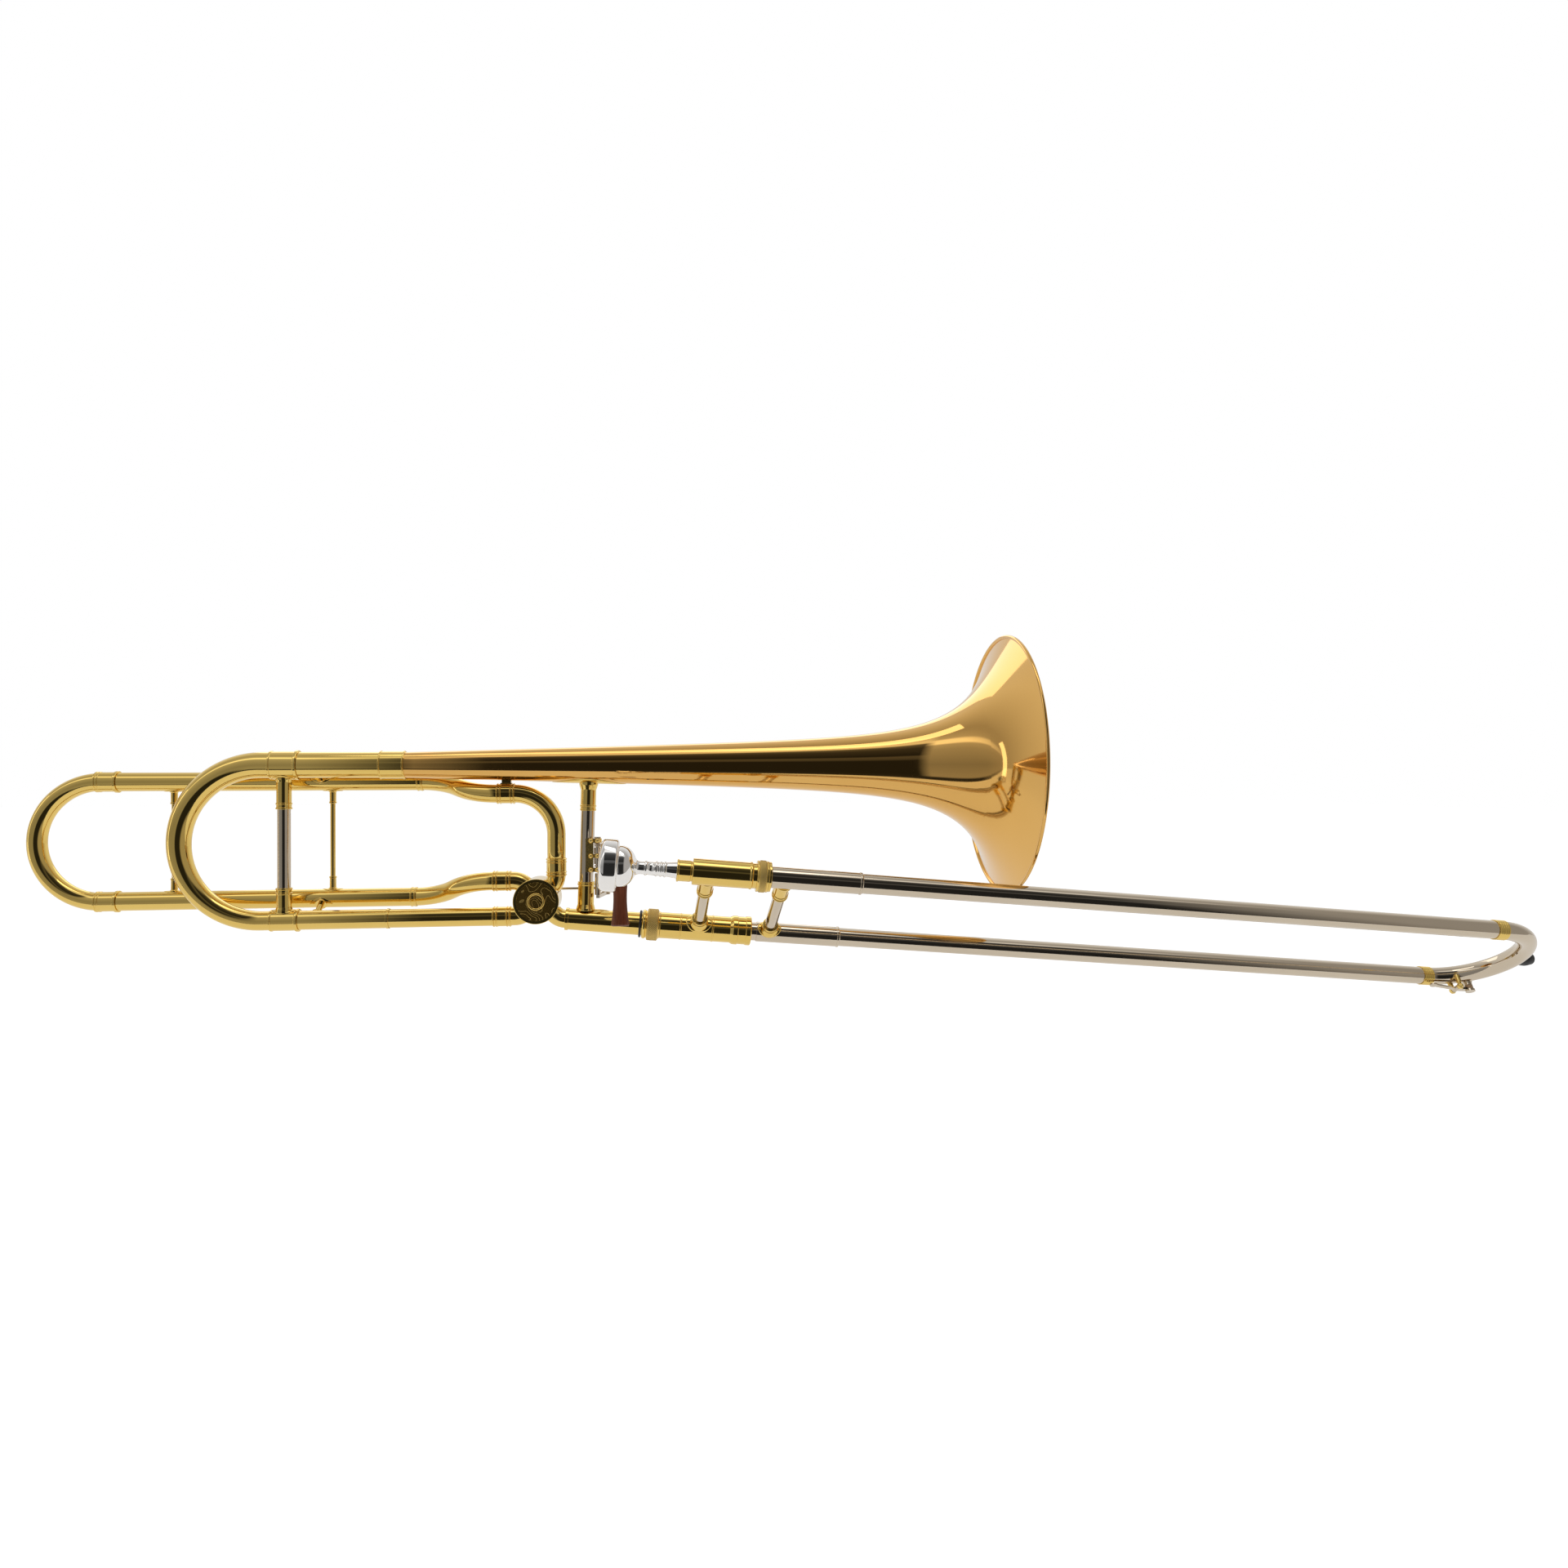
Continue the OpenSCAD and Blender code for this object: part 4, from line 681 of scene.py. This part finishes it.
# lever's hinge
hinge = {"x": -343.8, "y": -7.0, "top": -58.6, "bottom": -87.6}
hingeAxes = axesOf((hinge["x"], hinge["y"], 0), (0, 0, 1), (1, 0, 0))
addPiece("hinge_rod", "bell_section", "nickel", [
    turned(hingeAxes, [(hinge["bottom"], 0), (hinge["bottom"], 1.5), (-59.9, 1.5), (-59.9, 2.6),
                       (hinge["top"], 2.6), (hinge["top"], 0)], 0.35, 40, True)], ["lever_pin"])
knuckles = ((-60, -63.4), (-72.4, -75.6), (-83.6, -87))
polishedCopy("lever_bracket", "hinge_bracket", "bell_section", "satin_brass", [
    ball(axesOf((x, hinge["y"] - 3.0, (high + low) / 2), (0, 1, 0), (0, 0, 1)), 0, 2.05)
    for high, low in knuckles for x in (-349.2, -344.0)], 0.4)
paintNodes("tube_brass", "front_bearing", "bell_rim_wire")
paintNodes("cork", "stop_corks")

# tuning slide
crook = {"x": -605.6, "radius": legGap / 2, "end": -588.0, "thin": 7.58, "thick": 10.33, "wall": 0.5}


def crookPipe():
    # A half circle with straight ends whose radius grows evenly with the angle round it.
    straight = crook["end"] - crook["x"]
    centres, headings = route((crook["end"], 0, -legGap), (-1, 0, 0), (0, 0, 1),
                              [(straight, 0), (crook["radius"], 180), (straight, 0)], 2.5)
    a = np.arctan2(centres[:, 2] + crook["radius"], np.maximum(crook["x"] - centres[:, 0], 0))
    t = np.clip(a / math.pi + 0.5, 0, 1)
    outer = crook["thin"] + t * (crook["thick"] - crook["thin"])
    return bentPipe(centres, headings, np.cross((-1, 0, 0), (0, 0, 1)), outer, outer - crook["wall"], 72)


addPiece("main_crook", "tuning_slide", "tube_brass", [crookPipe()], ["tuning_crook"])
addPiece("main_inner_legs", "tuning_slide", "tube_brass", [
    sleeve(mainAxes, -587.98, -520, 9.75, 9.35), sleeve(lowerAxes, -587.98, -520, 7.05, 6.6)],
    ["tuning_inner_legs"])


def crookFerrule(axes, radius):
    return turned(axes, [(x, radius + rise) for x, rise in (
        (-598.7, 0.05), (-598.7, 0.95), (-597.3, 0.95), (-597.1, 0.5), (-579.5, 0.5), (-579.3, 1.45),
        (-577.1, 1.45), (-577.1, -0.45), (-587.8, -0.45), (crook["end"], 0.05))], 0.4, 80)


addPiece("crook_ferrules", "tuning_slide", "tube_brass",
         [crookFerrule(mainAxes, legs["upper"][0]), crookFerrule(lowerAxes, legs["lower"][0])],
         ["tuning_ferrules"])
tuningBrace = {"x": -588.8, "radius": 5.0, "high": -29.02, "low": -102.98}
tuningAxes = axesOf((tuningBrace["x"], 0, 0), (0, 0, 1), (1, 0, 0))
addPiece("crook_brace", "tuning_slide", "nickel", [
    sleeve(tuningAxes, tuningBrace["low"], tuningBrace["high"], tuningBrace["radius"], 4.1, fillet=0.2)],
    ["tuning_brace"])


def braceSocket(axes, tube, reach, radius, bore, flange=1.8):
    # A turned socket that stands on a tube: a flared foot, a plain barrel and two end rings.
    foot = [(tube - 2.2, bore), (tube - 2.2, radius + flange), (tube + 0.5, radius + flange * 0.9),
            (tube + 2.6, radius)]
    rings = [(reach - back, radius + rise) for back, rise in (
        (5.2, 0), (5.0, 0.5), (3.9, 0.5), (3.7, 0.05), (1.6, 0.05), (1.4, 0.6), (0.1, 0.6))]
    return turned(axes, foot + rings + [(reach, bore)], 0.35, 56)


downAxes = axesOf((tuningBrace["x"], 0, 0), (0, 0, -1), (1, 0, 0))
upAxes = axesOf((tuningBrace["x"], 0, -legGap), (0, 0, 1), (1, 0, 0))
addPiece("crook_brace_sockets", "tuning_slide", "tube_brass", [
    braceSocket(downAxes, 10.95, 35, 5.65, 5.05, 0.7), braceSocket(upAxes, 8.2, 26, 5.65, 5.05, 0.7),
    wrappedPlate(mainAxes, tuningBrace["x"], -math.pi / 2, tubeRadius(10.95), 9.2, 8, 0.7, 0.4),
    wrappedPlate(lowerAxes, tuningBrace["x"], math.pi / 2, tubeRadius(8.2), 9.2, 7, 0.7, 0.4)],
    ["tuning_brace_sockets"])

# F slide
fCrook = {"straight": 3.7, "radius": 47.7, "pipe": 7.2, "bore": 6.7, "end": -731.0}
fPath = route((fCrook["end"], fLoop["behind"], fLoop["low"]), (-1, 0, 0), (0, 0, 1),
              [(fCrook["straight"], 0), (fCrook["radius"], 180), (fCrook["straight"], 0)], 2.5)
addPiece("f_crook_tube", "f_slide", "tube_brass",
         [bentPipe(*fPath, np.cross((-1, 0, 0), (0, 0, 1)), fCrook["pipe"], fCrook["bore"])], ["f_crook"])
addPiece("f_slide_legs", "f_slide", "tube_brass",
         [sleeve(axes, -730.98, -649, 6.95, 6.5) for axes in (fUpperAxes, fLowerAxes)], ["f_inner_legs"])


def fFerrule(axes):
    return turned(axes, [
        (-738.5, 7.25), (-738.5, 7.9), (-738.3, 8.25), (-737.2, 8.25), (-737.0, 7.85), (-736.1, 7.85),
        (-735.9, 8.2), (-735.0, 8.2), (-734.8, 7.85), (-724.1, 7.85), (-723.9, 8.65), (-721.6, 8.65),
        (-721.6, 7.1), (-730.9, 7.1), (-731.1, 7.25)], 0.3)


addPiece("f_slide_ferrules", "f_slide", "tube_brass", [fFerrule(fUpperAxes), fFerrule(fLowerAxes)],
         ["f_crook_ferrules"])
print("tuning slides placed")

# rotor, link and lever
paintNodes("tube_brass", "rotor")
polishedCopy("stop_arm", "rotor_arm", "rotor", "tube_brass",
             [ball(valveAxes, 20.5, 2.3), ball(aroundValve(8, 45), 25.2, 1.7)])
polishedCopy("link_rod", "valve_link", "link", "nickel", (), 0.3)
polishedCopy("thumb_lever", "lever_arm", "lever", "nickel", (), 0.35)
addPiece("hinge_springs", "lever", "nickel", [
    coil(hingeAxes, -66.7, -63.9, 2.55, 0.33, 3.6), coil(hingeAxes, -83.1, -81.3, 2.55, 0.33, 2.4)],
    ["lever_spring"])

paddle = {"x": -325.3, "y": -23.0, "low": -129.5, "high": -83.0, "waist": 5.4, "flare": 7.6,
          "front": -3.2, "back": 2.2, "edge": 2.0}


def paddleShell():
    # The wooden thumb piece. At height z its half width is waist + (flare - waist) (z / half)^2,
    # and its section is a rounded D: |x / w|^3.2 + |y / d|^3.2 = 1, with a flatter back.
    size = (paddle["high"] - paddle["low"]) / 2
    edge = paddle["edge"]
    ease = np.linspace(0, 1, 7) * math.pi / 2
    easeBack = (1 - np.linspace(0, 1, 7)) * math.pi / 2
    t = np.concatenate([-size + edge * (1 - np.cos(ease)), np.linspace(-size + edge, size - edge, 44)[1:-1],
                        size - edge * (1 - np.cos(easeBack))])
    shrink = np.concatenate([edge * (1 - np.sin(ease)), np.zeros(42), edge * (1 - np.sin(easeBack))])
    width = paddle["waist"] + (paddle["flare"] - paddle["waist"]) * (t / size) ** 2 - shrink
    depth = (paddle["back"] - paddle["front"]) / 2 - 0.55 * (1 - (t / size) ** 2) - shrink
    middle = (paddle["back"] + paddle["front"]) / 2 + 0.4 * (1 - (t / size) ** 2)
    a = np.linspace(0, 2 * math.pi, 72, endpoint=False)[None]
    power = 2 / 3.2
    x = width[:, None] * np.sign(np.cos(a)) * np.abs(np.cos(a)) ** power
    y = depth[:, None] * np.sign(np.sin(a)) * np.abs(np.sin(a)) ** power + middle[:, None]
    z = np.broadcast_to(t[:, None] + (paddle["high"] + paddle["low"]) / 2, x.shape)
    points = np.stack([x + paddle["x"], y + paddle["y"], z], -1)
    ends = np.repeat(np.mean(points[[0, -1]], 1, keepdims=True), 72, 1)
    return gridShell(np.concatenate([ends[:1], points, ends[1:]]), False)


addPiece("thumb_paddle_wood", "lever", "rosewood", [paddleShell()], ["thumb_paddle"])

# inner slide
addPiece("slide_tenon_cone", "inner_slide", "silver", [turned(slideLowerAxes, [
    (-342, 6.9), (-342, 7.9), (-301.3, 8.7), (-300.7, 9.3), (-298.4, 9.3), (-298.3, 8.4), (-294.82, 8.4),
    (-294.82, 6.9)], 0.15)], ["slide_tenon"])
addPiece("o_ring", "bell_section", "rubber", [hoop(slideLowerAxes, -310.95, 10.2, 1.0)], ["slide_o_ring"])
lowerBarrel = [
    (-294.8, 7.3), (-294.8, 10.7), (-278.6, 10.7), (-278.4, 11.15), (-277.5, 11.15), (-277.3, 10.7),
    (-252.2, 10.7), (-252.0, 11.15), (-251.1, 11.15), (-250.9, 10.7), (-237, 10.7), (-236.2, 11.2),
    (-234.6, 11.9), (-231.6, 12.0), (-230.8, 12.0), (-230.5, 11.5), (-224.2, 11.5), (-223.9, 12.0),
    (-220.2, 12.0), (-219.5, 11.4), (-219.5, 9.3), (-262, 9.3), (-262, 7.3)]
addPiece("lower_barrel", "inner_slide", "tube_brass", [turned(slideLowerAxes, lowerBarrel, 0.4, 96)],
         ["lower_cork_barrel"])
upperBarrel = [
    (-286.9, 6.45), (-286.9, 8.1), (-286.6, 8.55), (-285.6, 8.55), (-285.3, 8.05), (-278.8, 8.05),
    (-277.4, 8.05), (-276.6, 8.05), (-276.4, 7.7), (-275.2, 7.7), (-275, 10.0), (-273.4, 10.05), (-232, 10.0),
    (-231.2, 10.45), (-230.2, 10.45), (-229.6, 9.6), (-217.6, 9.4), (-217.5, 11.4), (-215.6, 11.4),
    (-215.6, 9.0), (-258, 9.0), (-258, 7.3), (-262, 7.3), (-262, 5.9)]
addPiece("upper_barrel", "inner_slide", "tube_brass", [turned(slideUpperAxes, upperBarrel, 0.35, 96)],
         ["upper_cork_barrel"])
inner = {"start": (-294.7, -262.0), "stocking": 275.0, "end": 385.0, "radius": 7.2, "thick": 7.3, "bore": 6.9}
addPiece("inner_slide_tubes", "inner_slide", "slide_chrome", [
    turned(axes, [(start, inner["bore"]), (start, inner["radius"]), (inner["stocking"], inner["radius"]),
                  (inner["stocking"] + 2, inner["thick"]), (inner["end"], inner["thick"]),
                  (inner["end"], inner["bore"])], 0.1)
    for axes, start in zip((slideLowerAxes, slideUpperAxes), inner["start"])], ["inner_tubes"])

# The braces that the hands hold. An end is the tube's radius, the socket's reach from the tube's
# middle, and half the length and half the width of the plate under it.
handBraces = {
    "left_hand": {"body": "inner_slide", "node": "inner_brace", "place": -263.2, "tube": (16, 68),
                  "low": (10.7, 19, 11, 9.5), "high": (10.0, 31.5, 11, 9)},
    "right_hand": {"body": "outer_slide", "node": "outer_brace", "place": -204.6, "tube": (12.6, 71.2),
                   "low": (8.25, 15.5, 10, 8.5), "high": (8.25, 28.7, 10, 8.5)}}


def handBrace(name):
    spec = handBraces[name]
    place, across = spec["place"], slideLowerAxes[3]
    fromLow = axesOf(shifted(slideLowerAxes, along=place)[0], across, slideAlong)
    fromHigh = axesOf(shifted(slideLowerAxes, along=place, up=slideGap)[0], -across, slideAlong)
    addPiece(name + "_brace", spec["body"], "nickel", [sleeve(fromLow, *spec["tube"], 5, 4.2, fillet=0.2)],
             [spec["node"]])
    ends = ((fromLow, slideLowerAxes, math.pi / 2, spec["low"]),
            (fromHigh, slideUpperAxes, -math.pi / 2, spec["high"]))
    sockets = [braceSocket(axes, tube, reach, 5.9, 5.05) for axes, _, _, (tube, reach, _, _) in ends]
    plates = [wrappedPlate(axes, place, toward, tubeRadius(tube), length, width, 0.75, 0.3)
              for _, axes, toward, (tube, _, length, width) in ends]
    addPiece(name + "_sockets", spec["body"], "tube_brass", sockets + plates, [spec["node"] + "_sockets"])


handBrace("left_hand")
paintNodes("cork", "barrel_corks")
paintNodes("tube_brass", "leadpipe")
addPiece("lock_nut_collar", "lock_nut", "tube_brass", [
    turned(slideLowerAxes, [
        (-309.6, 9.48), (-309.6, 11.0), (-308.6, 11.9), (-307.2, 12.0), (-306.4, 11.2), (-305.6, 11.2),
        (-305.4, 12.4), (-296.4, 12.4), (-296.2, 11.3), (-294.9, 11.2), (-294.9, 8.46), (-298.1, 8.46),
        (-298.1, 9.48)], 0.4, 96)], ["bell_lock_nut"])
addPiece("lock_nut_knurl", "lock_nut", "knurled",
         [knurledBand(slideLowerAxes, -305.4, -296.4, 13.1, 0.5, 12.0, 52)])
addPiece("lock_ring_collar", "lock_ring", "tube_brass", [
    turned(slideUpperAxes, [
        (-226.6, 9.45), (-226.6, 11.7), (-225.6, 12.1), (-224.9, 11.6), (-219.4, 11.6), (-219.0, 12.0),
        (-217.6, 11.8), (-217.6, 9.45)], 0.35, 96)], ["slide_lock_ring"])
addPiece("lock_ring_knurl", "lock_ring", "knurled",
         [knurledBand(slideUpperAxes, -224.9, -219.4, 12.3, 0.5, 11.0, 50, rings=24)])

# mouthpiece
mouthpiece = {"start": -344.5, "rim": 19.8, "end": 81}


def throughPoints(points, count):
    # A smooth line through points: between two of them a cubic with slopes from their neighbours.
    p = np.asarray(points, float)
    slope = np.gradient(p, axis=0)
    u = np.linspace(0, len(p) - 1, count)
    i = np.minimum(u.astype(int), len(p) - 2)
    t = (u - i)[:, None]
    return ((2 * t ** 3 - 3 * t ** 2 + 1) * p[i] + (t ** 3 - 2 * t ** 2 + t) * slope[i]
            + (3 * t ** 2 - 2 * t ** 3) * p[i + 1] + (t ** 3 - t ** 2) * slope[i + 1])


def mouthpieceShell():
    # The outline from the rim down the outside to the shank's end, and back up through the bore.
    rim, end = mouthpiece["rim"], mouthpiece["end"]
    rimCurve = throughPoints([(0.55, 13.0), (0.05, 14.4), (0.0, 15.6), (0.5, 17.2), (1.7, 18.7), (3.3, 19.6),
                              (5.2, rim)], 40)
    rimBack = throughPoints([(11.4, rim), (12.6, 19.45), (13.3, 18.6), (13.5, 17.4)], 14)
    bowl = throughPoints([(14.1, 15.5), (16.0, 15.6), (18.4, 15.2), (21.0, 14.0), (23.6, 11.8), (25.4, 9.3),
                          (26.6, 7.0), (27.6, 5.7), (29.4, 5.0), (31.4, 4.8), (33.2, 4.85)], 60)
    bands = []
    for first, last, radius, rise in ((33.6, 35.4, 4.9, 0.75), (41.5, 43.1, 5.15, 0.7),
                                      (45.0, 46.4, 5.25, 0.7), (48.0, 49.6, 5.35, 0.7)):
        bands += [(first, radius), (first + 0.15, radius + rise * 0.8), (first + 0.45, radius + rise),
                  (last - 0.45, radius + rise), (last - 0.15, radius + rise * 0.8), (last, radius)]
    shank = [(50.5, 5.4), (57.5, 6.28), (58.2, 6.3), (80.6, 5.75), (end, 5.6), (end, 5.2)]
    bore = throughPoints([(end, 5.0), (64, 4.5), (48, 4.0), (36, 3.6), (28, 3.45), (25, 3.55), (22.5, 4.3),
                          (19, 6.4), (15, 8.8), (10, 11.0), (5, 12.2), (2.0, 12.7)], 60)
    outline = np.concatenate([rimCurve, rimBack, [(13.6, 16.2)], bowl, bands, shank, bore])
    outline[:, 0] += mouthpiece["start"]
    return turned(slideUpperAxes, outline, 0, 128)


addPiece("mouthpiece_cup", "mouthpiece", "silver", [mouthpieceShell()], ["mouthpiece"])
print("inner slide and mouthpiece placed")

# outer slide
outer = {"start": -247.0, "end": 395.3, "radius": 7.65, "bore": 7.35, "sleeve": 8.25, "sleeveStart": -215.0}
bothSlides = (slideLowerAxes, slideUpperAxes)
addPiece("outer_slide_tubes", "outer_slide", "nickel", [
    sleeve(axes, outer["start"], outer["end"], outer["radius"], outer["bore"], sides=80)
    for axes in bothSlides], ["outer_tubes"])
addPiece("outer_slide_sleeves", "outer_slide", "nickel", [
    turned(axes, [
        (outer["sleeveStart"], 7.67), (outer["sleeveStart"], outer["sleeve"]), (-147, outer["sleeve"]),
        (-146.8, 8.7), (-145.4, 8.7), (-145.1, outer["sleeve"]), (-144.7, 8.0), (-144.7, 7.67)], 0.25, 80)
    for axes in bothSlides], ["outer_sleeves"])
handBrace("right_hand")
addPiece("bow_sleeves", "outer_slide", "tube_brass", [
    sleeve(axes, 390.6, 400, 8.3, 7.73, [(x, -0.3, 0.8) for x in (392.4, 394.3, 396.3, 398.2)], 0.12, 80)
    for axes in bothSlides], ["bow_ferrules"])
bow = {"start": 398.0, "straight": 2.6, "radius": 48.5, "pipe": 7.65, "bore": 7.2}
bowStart = shifted(slideLowerAxes, along=bow["start"] - bow["straight"])[0]
bowPath = route(bowStart, slideAlong, slideLowerAxes[3],
                [(bow["straight"], 0), (bow["radius"], 180), (bow["straight"], 0)], 2.5)
keyTurn = math.radians(3)
keyAlong = math.cos(keyTurn) * slideAlong + math.sin(keyTurn) * slideLowerAxes[3]
keyAxes = axesOf(shifted(slideLowerAxes, along=418, up=6.6)[0], keyAlong, slideAcross)
nippleAxes = axesOf(shifted(keyAxes, along=12.5)[0], slideAcross, keyAlong)
addPiece("slide_bow_tube", "outer_slide", "nickel", [
    bentPipe(*bowPath, np.cross(slideAlong, slideLowerAxes[3]), bow["pipe"], bow["bore"], 72),
    turned(nippleAxes, [(-10.4, 2.2), (-10.4, 3.3), (-8.2, 3.4), (-5, 5.2), (-5, 2.2)], 0.3, 40)],
    ["slide_bow"])
bumperAxes = shifted(slideLowerAxes, up=bow["radius"])
tip = bow["start"] + bow["radius"]
addPiece("bumper", "outer_slide", "rubber", [
    turned(bumperAxes, [(tip + x, radius) for x, radius in (
        (2, 0), (2, 6.4), (10.6, 6.6), (13.0, 6.2), (17.2, 5.0), (18.5, 3.4), (18.5, 0))], 0.9, 48, True)],
    ["bow_bumper"])

# water key
keyPosts = []
for side in (-5.6, 5.6):
    post = axesOf(shifted(keyAxes, up=side)[0], slideAcross, keyAlong)
    tipOfPin = shifted(keyAxes, across=-13.4, up=side * 1.34)[0]
    keyPosts += [ball(post, -13.4, 2.5), ball(axesOf(tipOfPin, keyAxes[3], keyAlong), 0, 1.5)]
polishedCopy("water_key_saddle", "water_key_posts", "outer_slide", "satin_brass", keyPosts, 0.25)
polishedCopy("water_key_lever", "water_key_arm", "water_key", "nickel", (), 0.3)
paintNodes("cork", "water_key_cork")
print("outer slide and water key placed")

# studio


# Brightness of the room at each angle e above the horizon in front, in degrees. The bands to the
# left give way to the centre's between two values of the reflection's X, and those to the side's
# grey further right.
room = {
    "left": ((-180, 0.60), (-100, 0.62), (-60, 0.70), (-50, 1.2), (-45, 1.2), (-43, 0.03), (-36, 0.03),
             (-33, 0.36), (0, 0.28), (40, 0.42), (52, 0.55), (56, 1.35), (64, 1.35), (68, 0.62),
             (120, 0.70), (180, 0.60)),
    "centre": ((-180, 0.55), (-100, 0.55), (-60, 0.55), (-50, 0.70), (-45, 0.85), (-42, 0.03), (-30, 0.02),
               (12, 0.02), (16, 0.07), (24, 0.10), (28, 0.02), (50, 0.05), (60, 0.14), (64, 1.0),
               (76, 1.0), (82, 0.55), (180, 0.55)),
    "side": (0.38, 0.365, 0.35), "back": (0.80, 0.80, 0.80), "seen": (1.0, 1.0, 1.0),
    "leftToCentre": (-0.30, -0.21), "centreToSide": (0.44, 0.62)}


def bandRamp(tree, share, stops):
    ramp = tree.nodes.new("ShaderNodeValToRGB")
    first, last = ramp.color_ramp.elements
    first.position, last.position = 0, 1
    for degrees, level in stops:
        ends = {-180: first, 180: ramp.color_ramp.elements[-1]}
        spot = ends[degrees] if degrees in ends else ramp.color_ramp.elements.new((degrees + 180) / 360)
        spot.color = (level, level, level, 1)
    tree.links.new(share, ramp.inputs[0])
    return ramp.outputs["Color"]


def studioWorld():
    # A pale room with a dark side behind the viewer. With e = atan2(z, -y), a ramp over e gives
    # the bands that round polished tubes mirror; it is grey to the sides and light towards +Y.
    world = bpy.data.worlds.new("studio")
    bpy.context.scene.world = world
    world.use_nodes = True
    tree = world.node_tree
    place = tree.nodes.new("ShaderNodeTexCoord")
    split = tree.nodes.new("ShaderNodeSeparateXYZ")
    tree.links.new(place.outputs["Generated"], split.inputs[0])
    x, y, z = split.outputs
    front = mathNode(tree, "MULTIPLY", y, -1)
    share = remap(tree, mathNode(tree, "ARCTAN2", z, front), 0, 1, -math.pi, math.pi)
    toCentre = remap(tree, x, 0, 1, *room["leftToCentre"])
    toSide = remap(tree, x, 0, 1, *room["centreToSide"])
    bands = blendColours(tree, toCentre, bandRamp(tree, share, room["left"]),
                         bandRamp(tree, share, room["centre"]))
    ahead = blendColours(tree, toSide, bands, room["side"])
    behind = blendColours(tree, remap(tree, y, 0, 1, -0.1, 0.6), room["side"], room["back"])
    around = blendColours(tree, remap(tree, front, 0, 1, 0.0, 0.4), behind, ahead)
    path = tree.nodes.new("ShaderNodeLightPath")
    seen = blendColours(tree, path.outputs["Is Camera Ray"], around, room["seen"])
    setInputs(tree, tree.nodes["Background"], {"Color": seen, "Strength": 1.0})


def pointed(direction):
    # Rotation that aims an object's -Z along a direction.
    return Vector(direction).to_track_quat("-Z", "Y").to_euler()


def areaLight(name, place, target, width, height, watts):
    data = bpy.data.lights.new(name, "AREA")
    data.shape = "RECTANGLE"
    data.size, data.size_y = width, height
    data.energy = watts
    light = bpy.data.objects.new(name, data)
    light.location = place
    light.rotation_euler = pointed(np.subtract(target, place))
    bpy.context.scene.collection.objects.link(light)


studioWorld()
# In metres and watts: place, target, width, height, power.
middle = (-0.12, 0.0, -0.08)
lamps = {
    "overhead": ((-0.3, -0.3, 1.9), middle, 1.6, 0.5, 3.4),
    "sideWindow": ((-2.3, -0.15, 0.15), (0.0, 0.0, 0.0), 0.16, 1.1, 0.75),
    "backFill": ((-0.5, 1.8, 1.2), middle, 1.8, 0.8, 4)}
for name, lamp in lamps.items():
    areaLight(name, *lamp)

floor = {"z": -0.42, "x": (-9.0, 9.0), "y": (-0.45, 14.0), "glow": 0.3, "seenGlow": 0.62}


def floorMesh():
    # A flat grid of points at the floor's height.
    x, y = np.linspace(*floor["x"], 10), np.linspace(*floor["y"], 10)
    points = np.stack(np.broadcast_arrays(x[None], y[:, None], floor["z"]), -1)
    i, j = np.meshgrid(np.arange(9), np.arange(9), indexing="ij")
    faces = np.stack([i * 10 + j, i * 10 + j + 1, (i + 1) * 10 + j + 1, (i + 1) * 10 + j], -1).reshape(-1, 4)
    mesh = bpy.data.meshes.new("studio_floor")
    mesh.from_pydata(points.reshape(-1, 3).tolist(), [], faces.tolist())
    return mesh


def floorFinish():
    made, tree, shader, place = newMaterial("floor_white")
    speck = noiseFrom(tree, place, 3, 2)
    path = tree.nodes.new("ShaderNodeLightPath")
    glow = remap(tree, path.outputs["Is Camera Ray"], floor["glow"], floor["seenGlow"], 0, 1)
    setInputs(tree, shader, {
        "Base Color": blendColours(tree, speck, (0.80, 0.80, 0.80), (0.82, 0.82, 0.82)),
        "Roughness": 0.9, "Specular IOR Level": 0.0, "Emission Color": (1, 1, 1), "Emission Strength": glow})
    return made


floorPiece = bpy.data.objects.new("studio_floor", floorMesh())
floorPiece.data.materials.append(floorFinish())
bpy.context.scene.collection.objects.link(floorPiece)

# Lens and sensor in millimetres, shift as a share of the sensor's width, turns in radians.
camera = {"lens": 24.4430625, "sensor": 36, "shift": (-0.0055625, -0.007802083),
          "place": (-0.29516, -0.88672, -0.00797), "yaw": 0.1260, "pitch": 0.0022, "roll": -0.0021}


def makeCamera():
    yaw, pitch, roll = camera["yaw"], camera["pitch"], camera["roll"]
    forward = np.array([math.sin(yaw) * math.cos(pitch), math.cos(yaw) * math.cos(pitch), math.sin(pitch)])
    level = np.array([math.cos(yaw), -math.sin(yaw), 0])
    upright = np.cross(level, forward)
    right = math.cos(roll) * level + math.sin(roll) * upright
    up = -math.sin(roll) * level + math.cos(roll) * upright
    data = bpy.data.cameras.new("camera")
    data.sensor_fit = "HORIZONTAL"
    data.sensor_width = camera["sensor"]
    data.lens = camera["lens"]
    data.shift_x, data.shift_y = camera["shift"]
    data.clip_start, data.clip_end = 0.01, 50
    thing = bpy.data.objects.new("camera", data)
    matrix = np.eye(4)
    matrix[:3, :3] = np.stack([right, up, -forward], 1)
    matrix[:3, 3] = camera["place"]
    thing.matrix_world = Matrix(matrix.tolist())
    bpy.context.scene.collection.objects.link(thing)
    bpy.context.scene.camera = thing


makeCamera()
bpy.context.scene.view_settings.view_transform = "Standard"
print("studio ready")
